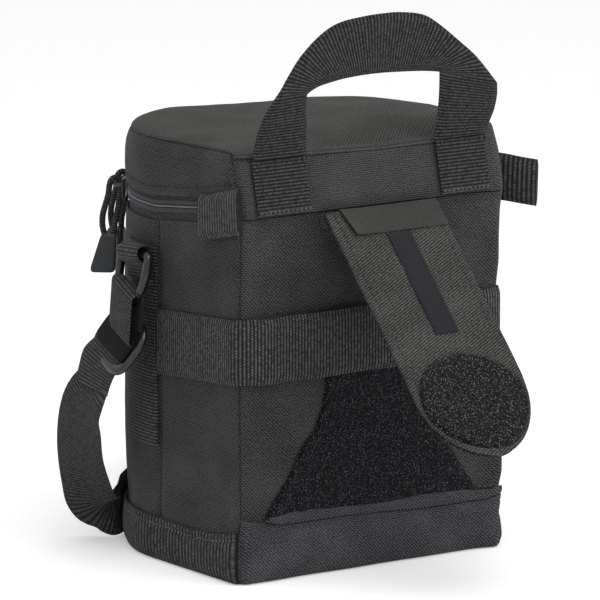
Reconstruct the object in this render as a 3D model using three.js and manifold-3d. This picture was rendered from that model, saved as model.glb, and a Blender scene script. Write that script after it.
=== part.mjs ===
// A padded lens pouch: a D-shaped body with a domed zip lid, a carrying handle, a belt flap and a
// shoulder strap. Millimetres, +Z up, +Y towards the back of the pouch, which lies on the belt.
// The origin is on the base, under the centre of the round front.
import * as THREE from 'three';
import { mergeVertices } from 'three/addons/utils/BufferGeometryUtils.js';
import Module from 'manifold-3d';

const wasm = await Module();
wasm.setup();

// Body
const halfWidth = 63;
const backDepth = 59;
const cornerRadius = 4;
const bodyEdge = 137;
const fabric = 1;
const foamWall = 4.5;
const lining = 0.8;
const baseFoam = 5;
const gap = 0.3;
const frontSteps = 20;
const cornerSteps = 3;

// Zip and lid
const zipStandOff = 5.8;
const zipLine = bodyEdge + zipStandOff;
const zipEnd = 31;
const zipRise = 3.7;
const coilHeight = 1.3;
const coilDepth = 1.2;
const tapeDepth = 0.8;
const tapeHidden = 3.4;
const lidTape = 4.2;
const lidEdge = zipLine + lidTape;
const lidWallHeight = 22;
const lidRim = lidEdge + lidWallHeight;
const crown = 5.5;
const crownSharpness = 2.6;
const lidFoam = 5;
const lidWallFoam = 3;

// Back band and handle
const bandRise = 2.5;
const bandBottom = zipLine + bandRise;
const bandLean = 5.3;
const webbing = 1.4;
const handleWidth = 25.4;
const anchorInset = 18.3;
const anchorMiddle = halfWidth - anchorInset;
const handleRise = 53;
const gripGap = 29;
const handleLean = 11;
const shoulderTilt = 8;
const legHeight = 12;

// Base trims and belt webbing
const sideBandHeight = 17.5;
const sideBandRise = 3.5;
const backBandHeight = 20.7;
const trim = 1.2;
const lipHeight = 5;
const lipEnd = 50;
const beltLow = 80.2;
const beltHeight = 25.8;
const beltFall = 4;
const seamDepth = 3;

// Loop fastener panel on the back
const loopPanelBottom = 21.4;
const loopPanelHeight = 71;
const loopPanelHalfWidth = 52.5;

// Belt flap
const flapHalfWidth = 26.8;
const flapMiddle = -1.1;
const flapLength = 117.5;
const flapAngle = 43;
const flapPly = 1;
const flapCorePly = 0.6;
const flapBackOff = 2.7;
const flapDrop = 1.3;
const flapHinge = { y: backDepth + flapBackOff, z: bandBottom - flapDrop };
const flapStandOff = 0.6;
const patchRadius = 24.6;
const patchMiddle = -1.8;
const patchPile = 1.4;
const labelPly = 0.4;

// Zip sliders and pulls
const sliderAngles = { left: 40, right: 52 };
const sliderLength = 11;
const sliderHeight = 8.4;
const sliderPlate = 1;
const sliderStandOff = 0.6;
const bailThickness = 1.2;
const bailHeight = 1.6;
const cordDiameter = 1.8;
const cordDrop = 21;
const gripHeight = 16.3;
const gripTop = 6;
const gripBottom = 10;
const gripDepth = 6;
const pullLean = 2.6;

// Side webbing, rings, loops and adjuster
const stripWidth = 22;
const stripLow = 46;
const stripTop = 128;
const ringAngle = 9;
const ringBarHeight = 123.5;
const ringBarOut = 5.9;
const ringBar = 2.1;
const ringStock = 3.4;
const ringDepth = 4.4;
const ringHalfOpening = 13.3;
const ringDrop = 20;
const ringHang = 12;
const holderHalfWidth = 12.5;
const holderDrop = 12;
const strapLoopHalfWidth = 8.5;
const strapLoopLength = 17.15;
const strapLoopLean = 9;
const adjusterTilt = 40.5;
const adjusterHalfLength = 16.5;
const adjusterHalfHeight = 12;
const adjusterBar = 2.6;
const adjusterPlate = 2.4;

// Shoulder strap
const strapWidth = 25;
const strapPly = 1.3;
const coilMiddle = { x: -63, y: -116 };
const coilPitch = 18.85;
const coilOuter = 46;

// Zip end tabs
const tabLength = 32;
const tabWidth = 19;
const tabPly = 2.4;
const tabRise = 1.2;
const tabRightRise = 4;
const tabLeftClimb = 6.5;
const tabRightFall = 2.5;
const tabMiddle = { left: zipLine + tabRise, right: zipLine + tabRise + tabRightRise };
const tabClimb = { left: tabLeftClimb, right: -tabRightFall };
const tabFlare = { left: 5, right: 36 };

const zAxis = new THREE.Vector3(0, 0, 1);
const pouch = new THREE.Group();
pouch.name = 'lens_pouch';

const finishes = {
  twill: { color: 0x3d3d3e, roughness: 0.9, metalness: 0 },
  webbing: { color: 0x343435, roughness: 0.85, metalness: 0 },
  foam: { color: 0x2c2c2e, roughness: 1, metalness: 0 },
  lining: { color: 0x77797c, roughness: 0.8, metalness: 0 },
  loopPile: { color: 0x1e1e22, roughness: 1, metalness: 0 },
  zip: { color: 0x2a2a2b, roughness: 0.6, metalness: 0 },
  plastic: { color: 0x161617, roughness: 0.25, metalness: 0 },
  satinTag: { color: 0x48484b, roughness: 0.5, metalness: 0 },
};

function add(name, finish, geometry, parent = pouch) {
  const mesh = new THREE.Mesh(geometry, new THREE.MeshStandardMaterial(finishes[finish]));
  mesh.name = name;
  parent.add(mesh);
  return mesh;
}

// A closed body from its corners and triangles, turned so that its faces point out.
function body(corners, triangles) {
  const turned = triangles.slice();
  let volume = 0;
  for (let i = 0; i < triangles.length; i += 3) {
    const [a, b, c] = [0, 1, 2].map((k) => corners[triangles[i + k]]);
    volume += a.dot(new THREE.Vector3().crossVectors(b, c));
  }
  if (volume < 0) turned.reverse();
  const geometry = new THREE.BufferGeometry().setFromPoints(corners);
  geometry.setIndex(turned);
  return geometry;
}

// A body swept through a list of sections, each a list of the same number of points.
function sweep(sections) {
  const count = sections[0].length;
  const triangles = [];
  for (let s = 0; s + 1 < sections.length; s += 1) {
    for (let k = 0; k < count; k += 1) {
      const a = s * count + k;
      const b = s * count + ((k + 1) % count);
      triangles.push(a, b, a + count, b, b + count, a + count);
    }
  }
  const last = (sections.length - 1) * count;
  for (let k = 1; k + 1 < count; k += 1) {
    triangles.push(0, k + 1, k, last, last + k, last + k + 1);
  }
  return body(sections.flat(), triangles);
}

function solidOf(geometry) {
  const bare = geometry.clone();
  bare.deleteAttribute('normal');
  bare.deleteAttribute('uv');
  const merged = mergeVertices(bare);
  return new wasm.Manifold(new wasm.Mesh({
    numProp: 3,
    vertProperties: Float32Array.from(merged.attributes.position.array),
    triVerts: Uint32Array.from(merged.index.array),
  }));
}

function geometryOf(solid) {
  const { vertProperties, triVerts } = solid.getMesh();
  const geometry = new THREE.BufferGeometry();
  geometry.setAttribute('position', new THREE.BufferAttribute(vertProperties.slice(), 3));
  geometry.setIndex(Array.from(triVerts));
  return geometry;
}

function extruded(points, depth, holes = []) {
  const block = new THREE.ExtrudeGeometry(new THREE.Shape(points), { depth, bevelEnabled: false });
  if (!holes.length) return block;
  const cuts = holes.map((hole) => {
    const cut = { depth: depth + 2 * gap, bevelEnabled: false };
    return new THREE.ExtrudeGeometry(new THREE.Shape(hole), cut).translate(0, 0, -gap);
  });
  return geometryOf(cuts.reduce((solid, cut) => solid.subtract(solidOf(cut)), solidOf(block)));
}

// An outline drawn in the Y and Z directions, with its thickness along X from the given side.
function crossPiece(points, from, to) {
  const turned = extruded(points, to - from);
  turned.applyMatrix4(new THREE.Matrix4().makeBasis(
    new THREE.Vector3(0, 1, 0), zAxis, new THREE.Vector3(1, 0, 0)));
  return turned.translate(from, 0, 0);
}

// An outline drawn in the X and Z directions, with its thickness along Y.
function backPiece(points, from, to) {
  return extruded(points, to - from).rotateX(Math.PI / 2).translate(0, to, 0);
}

function circle(radius, x, y, steps) {
  return Array.from({ length: steps }, (_, k) => {
    const angle = (k / steps) * 2 * Math.PI;
    return new THREE.Vector2(x + radius * Math.cos(angle), y + radius * Math.sin(angle));
  });
}

// The wall seen from above, followed from the middle of the front: round front, side, corner, back.
const frontRun = halfWidth * Math.PI / 2;
const sideRun = backDepth - cornerRadius;
const cornerRun = cornerRadius * Math.PI / 2;
const sideEnd = frontRun + sideRun;
const cornerEnd = sideEnd + cornerRun;

function wallPoint(run, out) {
  const side = run < 0 ? -1 : 1;
  const along = Math.abs(run);
  if (along <= frontRun) {
    const angle = along / halfWidth;
    const reach = halfWidth + out;
    return new THREE.Vector2(side * reach * Math.sin(angle), -reach * Math.cos(angle));
  }
  if (along <= sideEnd) return new THREE.Vector2(side * (halfWidth + out), along - frontRun);
  if (along <= cornerEnd) {
    const angle = (along - sideEnd) / cornerRadius;
    const reach = cornerRadius + out;
    return new THREE.Vector2(
      side * (halfWidth - cornerRadius + reach * Math.cos(angle)),
      sideRun + reach * Math.sin(angle));
  }
  return new THREE.Vector2(side * (halfWidth - cornerRadius + cornerEnd - along), backDepth + out);
}

// The places between two runs where the wall turns, or where a trim starts or ends.
function runsBetween(from, to) {
  const stops = [];
  for (let k = -frontSteps / 2; k <= frontSteps / 2; k += 1) {
    stops.push((2 * k * frontRun) / frontSteps);
  }
  [-1, 1].forEach((side) => {
    stops.push(side * (frontRun + zipEnd));
    for (let k = 0; k <= cornerSteps; k += 1) {
      stops.push(side * (sideEnd + (k * cornerRun) / cornerSteps));
    }
  });
  const inside = stops.filter((run) => run > from + gap && run < to - gap);
  return [from, ...inside.sort((a, b) => a - b), to];
}

// A strip on the wall, between two distances from the wall's outside and two heights.
function strip(from, to, outside, thickness, low, high) {
  const at = (value, run) => (typeof value === 'function' ? value(run) : value);
  return sweep(runsBetween(from, to).map((run) => {
    const inner = wallPoint(run, at(outside, run) - thickness);
    const outer = wallPoint(run, at(outside, run));
    return [
      new THREE.Vector3(inner.x, inner.y, at(low, run)),
      new THREE.Vector3(outer.x, outer.y, at(low, run)),
      new THREE.Vector3(outer.x, outer.y, at(high, run)),
      new THREE.Vector3(inner.x, inner.y, at(high, run)),
    ];
  }));
}

// The closed outline of the wall, set in or out, with its back cut off at a depth.
function outline(out, back = backDepth + out) {
  const reach = halfWidth + out;
  const points = [];
  for (let k = 0; k <= frontSteps; k += 1) {
    const angle = Math.PI + (k / frontSteps) * Math.PI;
    points.push(new THREE.Vector2(reach * Math.cos(angle), reach * Math.sin(angle)));
  }
  const corner = Math.max(cornerRadius + out, cornerRadius / 2);
  [1, -1].forEach((side) => {
    for (let k = 0; k <= cornerSteps; k += 1) {
      const share = side > 0 ? k / cornerSteps : 1 - k / cornerSteps;
      const angle = share * Math.PI / 2;
      points.push(new THREE.Vector2(
        side * (reach - corner + corner * Math.cos(angle)),
        back - corner + corner * Math.sin(angle)));
    }
  });
  return points;
}

function plate(out, low, high, back) {
  return extruded(outline(out, back), high - low).translate(0, 0, low);
}

function sleeve(out, thickness, low, high) {
  return extruded(outline(out), high - low, [outline(out - thickness)]).translate(0, 0, low);
}

// The zip, and both edges beside it, are level round the front and climb along the sides.
function riseAt(y) {
  return zipRise * Math.min(Math.max(y, 0), zipEnd) / zipEnd;
}

function withRise(height) {
  return (run) => height + riseAt(wallPoint(run, 0).y);
}

// Body: outer panels over foam, with a lining, on a padded base.
const foamOut = -(fabric + gap);
const foamIn = foamOut - foamWall;
const liningOut = foamIn - gap;
const panelBottom = trim + gap;
const foamBottom = panelBottom + baseFoam + gap;
const foamTop = bodyEdge - tapeHidden - gap;
const seam = frontRun + seamDepth;

add('base_panel', 'twill', plate(-gap, 0, trim));
add('base_foam', 'foam', plate(foamOut, panelBottom, panelBottom + baseFoam));
add('body_foam', 'foam', sleeve(foamOut, foamWall, foamBottom, foamTop));
add('lining_floor', 'lining', plate(liningOut, foamBottom, foamBottom + lining));
add('body_lining', 'lining', sleeve(liningOut, lining, foamBottom + lining + gap, foamTop));
add('front_panel', 'twill', strip(-seam, seam, 0, fabric, panelBottom, withRise(bodyEdge)));

// Back band: it stands on the back panel and leans in towards the lid.
const bandHeight = lidRim - gap - bandBottom;
const bandSlope = Math.hypot(bandHeight, bandLean);
const bandUp = new THREE.Vector2(-bandLean, bandHeight).divideScalar(bandSlope);
const bandOut = new THREE.Vector2(bandHeight, bandLean).divideScalar(bandSlope);

function bandPoint(up, out) {
  return new THREE.Vector2(backDepth + trim, bandBottom)
    .addScaledVector(bandUp, up)
    .addScaledVector(bandOut, out);
}

function onBand(fromUp, toUp, fromOut, toOut) {
  return [
    bandPoint(fromUp, fromOut), bandPoint(fromUp, toOut),
    bandPoint(toUp, toOut), bandPoint(toUp, fromOut),
  ];
}

const bandTop = bandPoint(bandSlope, -trim);
const tongueGap = 2 * gap;

function sidePanel(from, to) {
  return crossPiece([
    new THREE.Vector2(seamDepth + gap, panelBottom),
    new THREE.Vector2(sideRun - gap, panelBottom),
    new THREE.Vector2(sideRun - gap, bandBottom),
    new THREE.Vector2(backDepth, bandBottom),
    new THREE.Vector2(bandTop.x, lidRim - tongueGap),
    new THREE.Vector2(bandTop.x - fabric, lidRim - tongueGap),
    new THREE.Vector2(zipEnd + tongueGap, lidEdge + zipRise - tongueGap),
    new THREE.Vector2(zipEnd + tongueGap, bodyEdge + zipRise),
    new THREE.Vector2(seamDepth + gap, bodyEdge + riseAt(seamDepth)),
  ], from, to);
}

add('side_panel_left', 'twill', sidePanel(halfWidth - fabric, halfWidth));
add('side_panel_right', 'twill', sidePanel(-halfWidth, -halfWidth + fabric));

function roundBack(from, outside, thickness, low, high) {
  const halves = [1, -1].map((side) => {
    const end = side * (cornerEnd + halfWidth - cornerRadius);
    const ends = [side * from, end].sort((a, b) => a - b);
    return solidOf(strip(...ends, outside, thickness, low, high));
  });
  return geometryOf(halves[0].add(halves[1]));
}

add('back_panel', 'twill', roundBack(sideEnd, 0, fabric, panelBottom, bandBottom - gap));
add('back_band', 'twill',
  crossPiece(onBand(0, bandSlope, -trim, 0), fabric + gap - halfWidth, halfWidth - fabric - gap));

const neckHalfWidth = halfWidth - fabric - foamWall - 2 * gap;
const neckTop = lidRim - lidFoam - lining - 2 * gap;
const neckUp = (neckTop - bandBottom) / bandUp.y;
add('neck_foam', 'foam', crossPiece([
  new THREE.Vector2(backDepth + foamIn, foamTop + gap),
  new THREE.Vector2(backDepth + foamOut, foamTop + gap),
  new THREE.Vector2(backDepth + foamOut, bandBottom),
  bandPoint(neckUp, -trim - gap),
  bandPoint(neckUp, -trim - gap - foamWall),
  new THREE.Vector2(backDepth + foamIn, bandBottom),
], -neckHalfWidth, neckHalfWidth));

// Base trims: a ribbed band round the front and sides, and a plain one with a lip across the back.
const lipDepth = backDepth + gap + trim + gap;

add('base_band', 'webbing', strip(-sideEnd + gap, sideEnd - gap, gap + trim, trim, 0, (run) => {
  const near = Math.max(0, wallPoint(run, 0).y - zipEnd) / (sideRun - zipEnd);
  return sideBandHeight + sideBandRise * near;
}));
add('back_base_band', 'twill', roundBack(sideEnd, gap + trim, trim, 0, backBandHeight));
add('pocket_lip', 'twill', backPiece([
  new THREE.Vector2(lipEnd, backBandHeight - gap),
  new THREE.Vector2(lipEnd, backBandHeight + lipHeight - gap),
  new THREE.Vector2(cornerRadius - halfWidth, backBandHeight + lipHeight - gap),
  new THREE.Vector2(cornerRadius - halfWidth, backBandHeight - gap),
], lipDepth, lipDepth + trim));

// Loop fastener panel: narrow under the belt webbing, flaring towards the pocket.
const loopPanelShares = [
  [1, 0], [0.96, 0.08], [0.78, 0.26], [0.64, 0.43], [0.52, 0.52], [0.44, 0.65], [0.42, 0.8], [0.42, 1],
];
const loopPanelSide = loopPanelShares.map(([across, up]) => new THREE.Vector2(
  across * loopPanelHalfWidth, loopPanelBottom + up * loopPanelHeight));
const loopPanelMirror = loopPanelSide.map((point) => new THREE.Vector2(-point.x, point.y));
add('loop_panel', 'loopPile', backPiece(
  [...loopPanelSide, ...loopPanelMirror.reverse()], backDepth + gap, backDepth + gap + trim));

// Belt webbing: sewn in the side seams, round both back corners and across the loop panel.
const beltOut = gap + trim;
const beltBackOut = 2 * gap + 2 * trim;
const beltRun = (run) => Math.min(Math.max((Math.abs(run) - sideEnd) / cornerRun, 0), 1);
const beltAt = (height) => (run) => {
  const y = Math.min(wallPoint(run, 0).y, backDepth);
  return height - (beltFall * (backDepth - y)) / backDepth;
};
add('belt_webbing', 'webbing', roundBack(
  seam + gap,
  (run) => beltOut + (beltBackOut - beltOut) * beltRun(run),
  trim, beltAt(beltLow), beltAt(beltLow + beltHeight)));

// Zip: a tape and a coil on the body, and their twins on the lid.
const zipRun = frontRun + zipEnd;
const tapeOut = foamOut + gap / 3;
const coilOut = tapeOut + gap / 3 + coilDepth;
const coilLow = zipLine - gap - coilHeight;

function tape(low, high) {
  return strip(-zipRun, zipRun, tapeOut, tapeDepth, withRise(low), withRise(high));
}

function coil(low) {
  return strip(-zipRun, zipRun, coilOut, coilDepth, withRise(low), withRise(low + coilHeight));
}

add('lower_zip_tape', 'zip', tape(bodyEdge - tapeHidden, zipLine - gap));
add('lower_zip_coil', 'zip', coil(coilLow));
add('upper_zip_tape', 'zip', tape(zipLine + gap, lidEdge + tapeHidden));
add('upper_zip_coil', 'zip', coil(zipLine + gap));

// Lid: a domed top on a wall that is cut slanting from the zip's ends up to the hinge.
const lidBack = bandTop.x - gap;
const lidWallEnd = frontRun + lidBack - gap;

function lidLow(run) {
  const y = wallPoint(run, 0).y;
  if (y <= zipEnd) return lidEdge + riseAt(y);
  const share = (y - zipEnd) / (lidWallEnd - frontRun - zipEnd);
  const start = lidEdge + zipRise;
  return start + share * (lidRim - gap - start);
}

add('lid_wall', 'twill', strip(-lidWallEnd, lidWallEnd, 0, fabric, lidLow, lidRim));

function dome(out, back, base, thickness) {
  const rim = outline(out, back);
  const rings = [1, 0.85, 0.65, 0.4, 0.15];
  const middle = new THREE.Vector2(0, (back - halfWidth) / 2);
  const corners = [];
  const triangles = [];
  [base, base + thickness].forEach((height) => {
    rings.forEach((share) => {
      rim.forEach((point) => {
        const at = middle.clone().lerp(point, share);
        corners.push(new THREE.Vector3(at.x, at.y, height + crown * (1 - share ** crownSharpness)));
      });
    });
    corners.push(new THREE.Vector3(middle.x, middle.y, height + crown));
  });
  const count = rim.length;
  const layer = rings.length * count + 1;
  for (let k = 0; k < count; k += 1) {
    const next = (k + 1) % count;
    for (let ring = 0; ring + 1 < rings.length; ring += 1) {
      const [a, b] = [ring * count + k, ring * count + next];
      const [c, d] = [a + count, b + count];
      triangles.push(a, c, b, b, c, d);
      triangles.push(layer + a, layer + b, layer + c, layer + b, layer + d, layer + c);
    }
    const inner = (rings.length - 1) * count;
    triangles.push(inner + k, layer - 1, inner + next);
    triangles.push(layer + inner + k, layer + inner + next, 2 * layer - 1);
    triangles.push(k, next, layer + k, next, layer + next, layer + k);
  }
  return body(corners, triangles);
}

add('lid_top', 'twill', dome(0, lidBack, lidRim + gap, trim));
add('lid_foam', 'foam', dome(foamOut, lidBack - fabric - gap, lidRim - lidFoam, lidFoam));
add('lid_lining', 'lining',
  plate(foamOut, lidRim - lidFoam - gap - lining, lidRim - lidFoam - gap, lidBack - fabric - gap));
const lidFoamTop = lidRim - lidFoam - lining - 2 * gap;
add('lid_wall_foam', 'foam', strip(-zipRun, zipRun, foamOut, lidWallFoam,
  withRise(lidEdge + tapeHidden + gap), lidFoamTop));
add('lid_wall_lining', 'lining', strip(-zipRun, zipRun, foamOut - lidWallFoam - gap, lining,
  withRise(lidEdge), lidFoamTop));

// Handle: webbing sewn flat on the band at both ends, standing up from it in one bow.
const anchorTop = bandSlope - webbing;
const anchorShape = onBand(gap, anchorTop, gap, gap + webbing);
['left', 'right'].forEach((name, k) => {
  const middle = k ? -anchorMiddle : anchorMiddle;
  add(`handle_anchor_${name}`, 'webbing',
    crossPiece(anchorShape, middle - handleWidth / 2, middle + handleWidth / 2));
});

const handleFoot = bandPoint(anchorTop, gap + webbing / 2);
const handleAxis = { y: handleFoot.x, z: handleFoot.y + webbing / 2 };
const handleStart = handleAxis.z + gap / 3;
const outerHalf = anchorMiddle + handleWidth / 2;
const innerHalf = anchorMiddle - handleWidth / 2;
const outerRoundness = 1.6;
const innerRoundness = 4.5;
const leanShare = 0.75;
const bowSteps = 9;

function bowEdge(half, top, roundness, angle) {
  const reach = 2 / roundness;
  return new THREE.Vector2(
    half * Math.cos(angle) ** reach,
    handleStart + legHeight + (top - legHeight) * Math.sin(angle) ** reach);
}

function handleSection(outer, inner, tilt, side) {
  const leanAt = (z) => {
    const share = Math.min((z - handleStart) / (leanShare * handleRise), 1);
    return handleAxis.y + handleLean * share;
  };
  const [a, b] = [
    new THREE.Vector3(side * outer.x, leanAt(outer.y) + tilt / 2, outer.y),
    new THREE.Vector3(side * inner.x, leanAt(inner.y) - tilt / 2, inner.y),
  ];
  return [a, b];
}

const handleEdges = [];
for (let k = 0; k <= 2; k += 1) {
  const z = handleStart + (legHeight * k) / 3;
  handleEdges.push([new THREE.Vector2(outerHalf, z), new THREE.Vector2(innerHalf, z), 0]);
}
for (let k = 0; k <= bowSteps; k += 1) {
  const angle = (k / bowSteps) * Math.PI / 2;
  const cut = k === bowSteps ? Math.PI / 2 - Number.EPSILON : angle;
  handleEdges.push([
    bowEdge(outerHalf, handleRise, outerRoundness, cut),
    bowEdge(innerHalf, gripGap, innerRoundness, cut),
    shoulderTilt * Math.sin(2 * angle),
  ]);
}
const leftEdges = handleEdges.map(([outer, inner, tilt]) => handleSection(outer, inner, tilt, 1));
const rightEdges = handleEdges.slice(0, -1)
  .map(([outer, inner, tilt]) => handleSection(outer, inner, tilt, -1));

// A flat band between two edges, with its thickness square to the band.
function bandBetween(edges, thickness) {
  return sweep(edges.map(([a, b], k) => {
    const [before, after] = [edges[Math.max(k - 1, 0)], edges[Math.min(k + 1, edges.length - 1)]];
    const along = after[0].clone().add(after[1]).sub(before[0]).sub(before[1]);
    const across = b.clone().sub(a);
    const face = new THREE.Vector3().crossVectors(along, across).setLength(thickness / 2);
    return [a.clone().add(face), b.clone().add(face), b.clone().sub(face), a.clone().sub(face)];
  }));
}

add('carry_handle', 'webbing', bandBetween([...leftEdges, ...rightEdges.reverse()], webbing));

// Belt flap: two plies over a stiff core, hung under the back band, with a round patch at its end.
const flap = new THREE.Group();
flap.position.set(flapMiddle, flapHinge.y, flapHinge.z);
flap.rotation.x = Math.PI / 2 + THREE.MathUtils.degToRad(flapAngle);
pouch.add(flap);
const flapStart = flapStandOff + gap / 6;
const flapEndSteps = 14;

function flapOutline(inset) {
  const half = flapHalfWidth - inset;
  const points = [new THREE.Vector2(half, flapStart - inset), new THREE.Vector2(-half, flapStart - inset)];
  for (let k = 0; k <= flapEndSteps; k += 1) {
    const angle = Math.PI + (k / flapEndSteps) * Math.PI;
    points.push(new THREE.Vector2(
      half * Math.cos(angle), flapHalfWidth - flapLength + half * Math.sin(angle)));
  }
  return points;
}

function flapLayer(points, from, thickness) {
  return extruded(points, thickness).translate(0, 0, -from - thickness);
}

const coreFrom = flapStandOff + flapPly + gap / 2;
const faceFrom = coreFrom + flapCorePly + gap / 2;
const trimFrom = faceFrom + flapPly + gap / 2;
add('flap_backing', 'loopPile', flapLayer(flapOutline(0), flapStandOff, flapPly), flap);
add('flap_core', 'plastic', flapLayer(flapOutline(flapPly), coreFrom, flapCorePly), flap);
add('flap_face', 'twill', flapLayer(flapOutline(0), faceFrom, flapPly), flap);
add('flap_patch', 'loopPile', flapLayer(
  circle(patchRadius, patchMiddle, patchRadius + trim - flapLength, 2 * flapEndSteps),
  trimFrom, patchPile), flap);

function cornersOf(left, top, right, bottom) {
  return [
    new THREE.Vector2(left, -top), new THREE.Vector2(left, -bottom),
    new THREE.Vector2(right, -bottom), new THREE.Vector2(right, -top),
  ];
}

const tagHeight = 12;
const tagInset = 9;
const labelHalfWidth = 6;
const labelLength = 48;
const labelMiddle = -1.5;
add('flap_size_tag', 'satinTag', flapLayer(
  cornersOf(-flapHalfWidth + trim, trim, flapHalfWidth - tagInset, trim + tagHeight),
  trimFrom, labelPly), flap);
add('flap_label_strip', 'satinTag', flapLayer(
  cornersOf(labelMiddle - labelHalfWidth, 2 * trim + tagHeight,
    labelMiddle + labelHalfWidth, 2 * trim + tagHeight + labelLength),
  trimFrom, labelPly), flap);
const flapRootHeight = 6.5;
add('flap_root', 'twill', backPiece(
  cornersOf(flapMiddle - flapHalfWidth, gap - bandBottom,
    flapMiddle + flapHalfWidth, flapRootHeight - bandBottom),
  backDepth + gap, flapHinge.y - flapStandOff - gap));

// Side webbing, its loop round the ring's bar, the ring, and the strap's own loop below it.
const beside = (angle) => {
  const group = new THREE.Group();
  group.rotation.z = angle;
  pouch.add(group);
  return group;
};

const ringAxisReach = halfWidth + ringBarOut;
const hang = THREE.MathUtils.degToRad(ringHang);
const loopTop = new THREE.Vector2(
  ringAxisReach + ringDrop * Math.sin(hang), ringBarHeight - ringDrop * Math.cos(hang));
const loopLean = THREE.MathUtils.degToRad(strapLoopLean);
const loopBottom = new THREE.Vector2(
  loopTop.x + strapLoopLength * Math.sin(loopLean), loopTop.y - strapLoopLength * Math.cos(loopLean));
const loopInner = Math.hypot(ringStock, ringDepth) / 2 + gap;
const glideInner = Math.hypot(adjusterBar, adjusterPlate) / 2 + gap;

// Outlines drawn out from the wall and up, with their width along the wall.
function alongWall(geometry, halfAcross) {
  const turned = geometry.clone();
  turned.applyMatrix4(new THREE.Matrix4().makeBasis(
    new THREE.Vector3(1, 0, 0), zAxis, new THREE.Vector3(0, -1, 0)));
  return turned.translate(0, halfAcross, 0);
}

function raceTrack(topRadius, bottomRadius, top, bottom, steps) {
  const half = (middle, radius, from) => Array.from({ length: steps + 1 }, (_, k) => {
    const angle = from + (k / steps) * Math.PI;
    return new THREE.Vector2(middle.x + radius * Math.cos(angle), middle.y + radius * Math.sin(angle));
  });
  return [...half(top, topRadius, 0), ...half(bottom, bottomRadius, Math.PI)];
}

function holder() {
  const hole = ringBar + gap;
  const outer = hole + trim;
  const foot = ringBarHeight - holderDrop;
  const points = [
    new THREE.Vector2(ringAxisReach - outer, foot),
    new THREE.Vector2(ringAxisReach - outer + trim, foot),
    new THREE.Vector2(ringAxisReach + outer, ringBarHeight - outer),
  ];
  for (let k = 0; k <= 6; k += 1) {
    const angle = (k / 6) * Math.PI;
    points.push(new THREE.Vector2(
      ringAxisReach + outer * Math.cos(angle), ringBarHeight + outer * Math.sin(angle)));
  }
  const bore = circle(hole, ringAxisReach, ringBarHeight, 12);
  return alongWall(extruded(points, 2 * holderHalfWidth, [bore]), holderHalfWidth);
}

function ring() {
  const outerHalfWidth = ringHalfOpening + ringStock;
  const drop = ringDrop + ringStock / 2;
  const bend = 2 * ringStock;
  const bendSteps = 4;
  const hoop = (half, low, radius) => {
    const points = [new THREE.Vector2(half, 0)];
    [-1, 1].forEach((side) => {
      for (let k = 0; k <= bendSteps; k += 1) {
        const angle = (side < 0 ? 0 : -Math.PI / 2) - (k / bendSteps) * Math.PI / 2;
        points.push(new THREE.Vector2(
          -side * (half - radius) + radius * Math.cos(angle),
          radius - low + radius * Math.sin(angle)));
      }
    });
    points.push(new THREE.Vector2(-half, 0));
    return points;
  };
  const outer = hoop(outerHalfWidth, drop, bend + ringStock);
  const inner = hoop(ringHalfOpening, drop - ringStock, bend).reverse();
  const arch = solidOf(extruded([...outer, ...inner], ringDepth).translate(0, 0, -ringDepth / 2));
  const bar = new THREE.CylinderGeometry(ringBar, ringBar, 2 * outerHalfWidth, 12).rotateZ(Math.PI / 2);
  const whole = geometryOf(arch.add(solidOf(bar)));
  whole.applyMatrix4(new THREE.Matrix4().makeBasis(
    new THREE.Vector3(0, 1, 0), zAxis, new THREE.Vector3(1, 0, 0)));
  return whole.rotateY(-hang).translate(ringAxisReach, 0, ringBarHeight);
}

function strapLoop() {
  const track = raceTrack(loopInner + strapPly, glideInner + strapPly, loopTop, loopBottom, 6);
  const hole = raceTrack(loopInner, glideInner, loopTop, loopBottom, 6);
  return alongWall(extruded(track, 2 * strapLoopHalfWidth, [hole]), strapLoopHalfWidth);
}

// The adjuster: a frame with a middle bar, lying slanted on the strap below the ring.
function adjuster() {
  const slotHalf = adjusterHalfLength - adjusterBar;
  const slotTop = adjusterHalfHeight - adjusterBar;
  const slotLow = adjusterBar / 2;
  const slots = [1, -1].map((side) => [
    new THREE.Vector2(-slotHalf, side * slotLow), new THREE.Vector2(slotHalf, side * slotLow),
    new THREE.Vector2(slotHalf, side * slotTop), new THREE.Vector2(-slotHalf, side * slotTop),
  ]);
  const chamfer = adjusterBar;
  const [w, h] = [adjusterHalfLength, adjusterHalfHeight];
  const frame = [
    [-w, chamfer - h], [chamfer - w, -h], [w - chamfer, -h], [w, chamfer - h],
    [w, h - chamfer], [w - chamfer, h], [chamfer - w, h], [-w, h - chamfer],
  ].map(([x, y]) => new THREE.Vector2(x, y));
  const flat = extruded(frame, adjusterPlate, slots).translate(0, 0, -adjusterPlate / 2);
  flat.applyMatrix4(new THREE.Matrix4().makeBasis(
    new THREE.Vector3(0, 1, 0), zAxis, new THREE.Vector3(1, 0, 0)));
  flat.rotateY(-THREE.MathUtils.degToRad(adjusterTilt));
  return flat.translate(loopBottom.x, 0, loopBottom.y);
}

const ringTurn = THREE.MathUtils.degToRad(ringAngle);
const ringSides = { left: beside(-ringTurn), right: beside(Math.PI + ringTurn) };
Object.entries(ringSides).forEach(([name, side]) => {
  const ends = [seam - stripWidth, seam - gap];
  const runs = name === 'left' ? ends : ends.map((run) => -run).reverse();
  add(`side_strip_${name}`, 'webbing', strip(...runs, gap + trim, trim, stripLow, stripTop));
  add(`ring_holder_${name}`, 'webbing', holder(), side);
  add(`d_ring_${name}`, 'plastic', ring(), side);
  add(`strap_end_loop_${name}`, 'webbing', strapLoop(), side);
});
add('strap_adjuster', 'plastic', adjuster(), ringSides.left);

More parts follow.
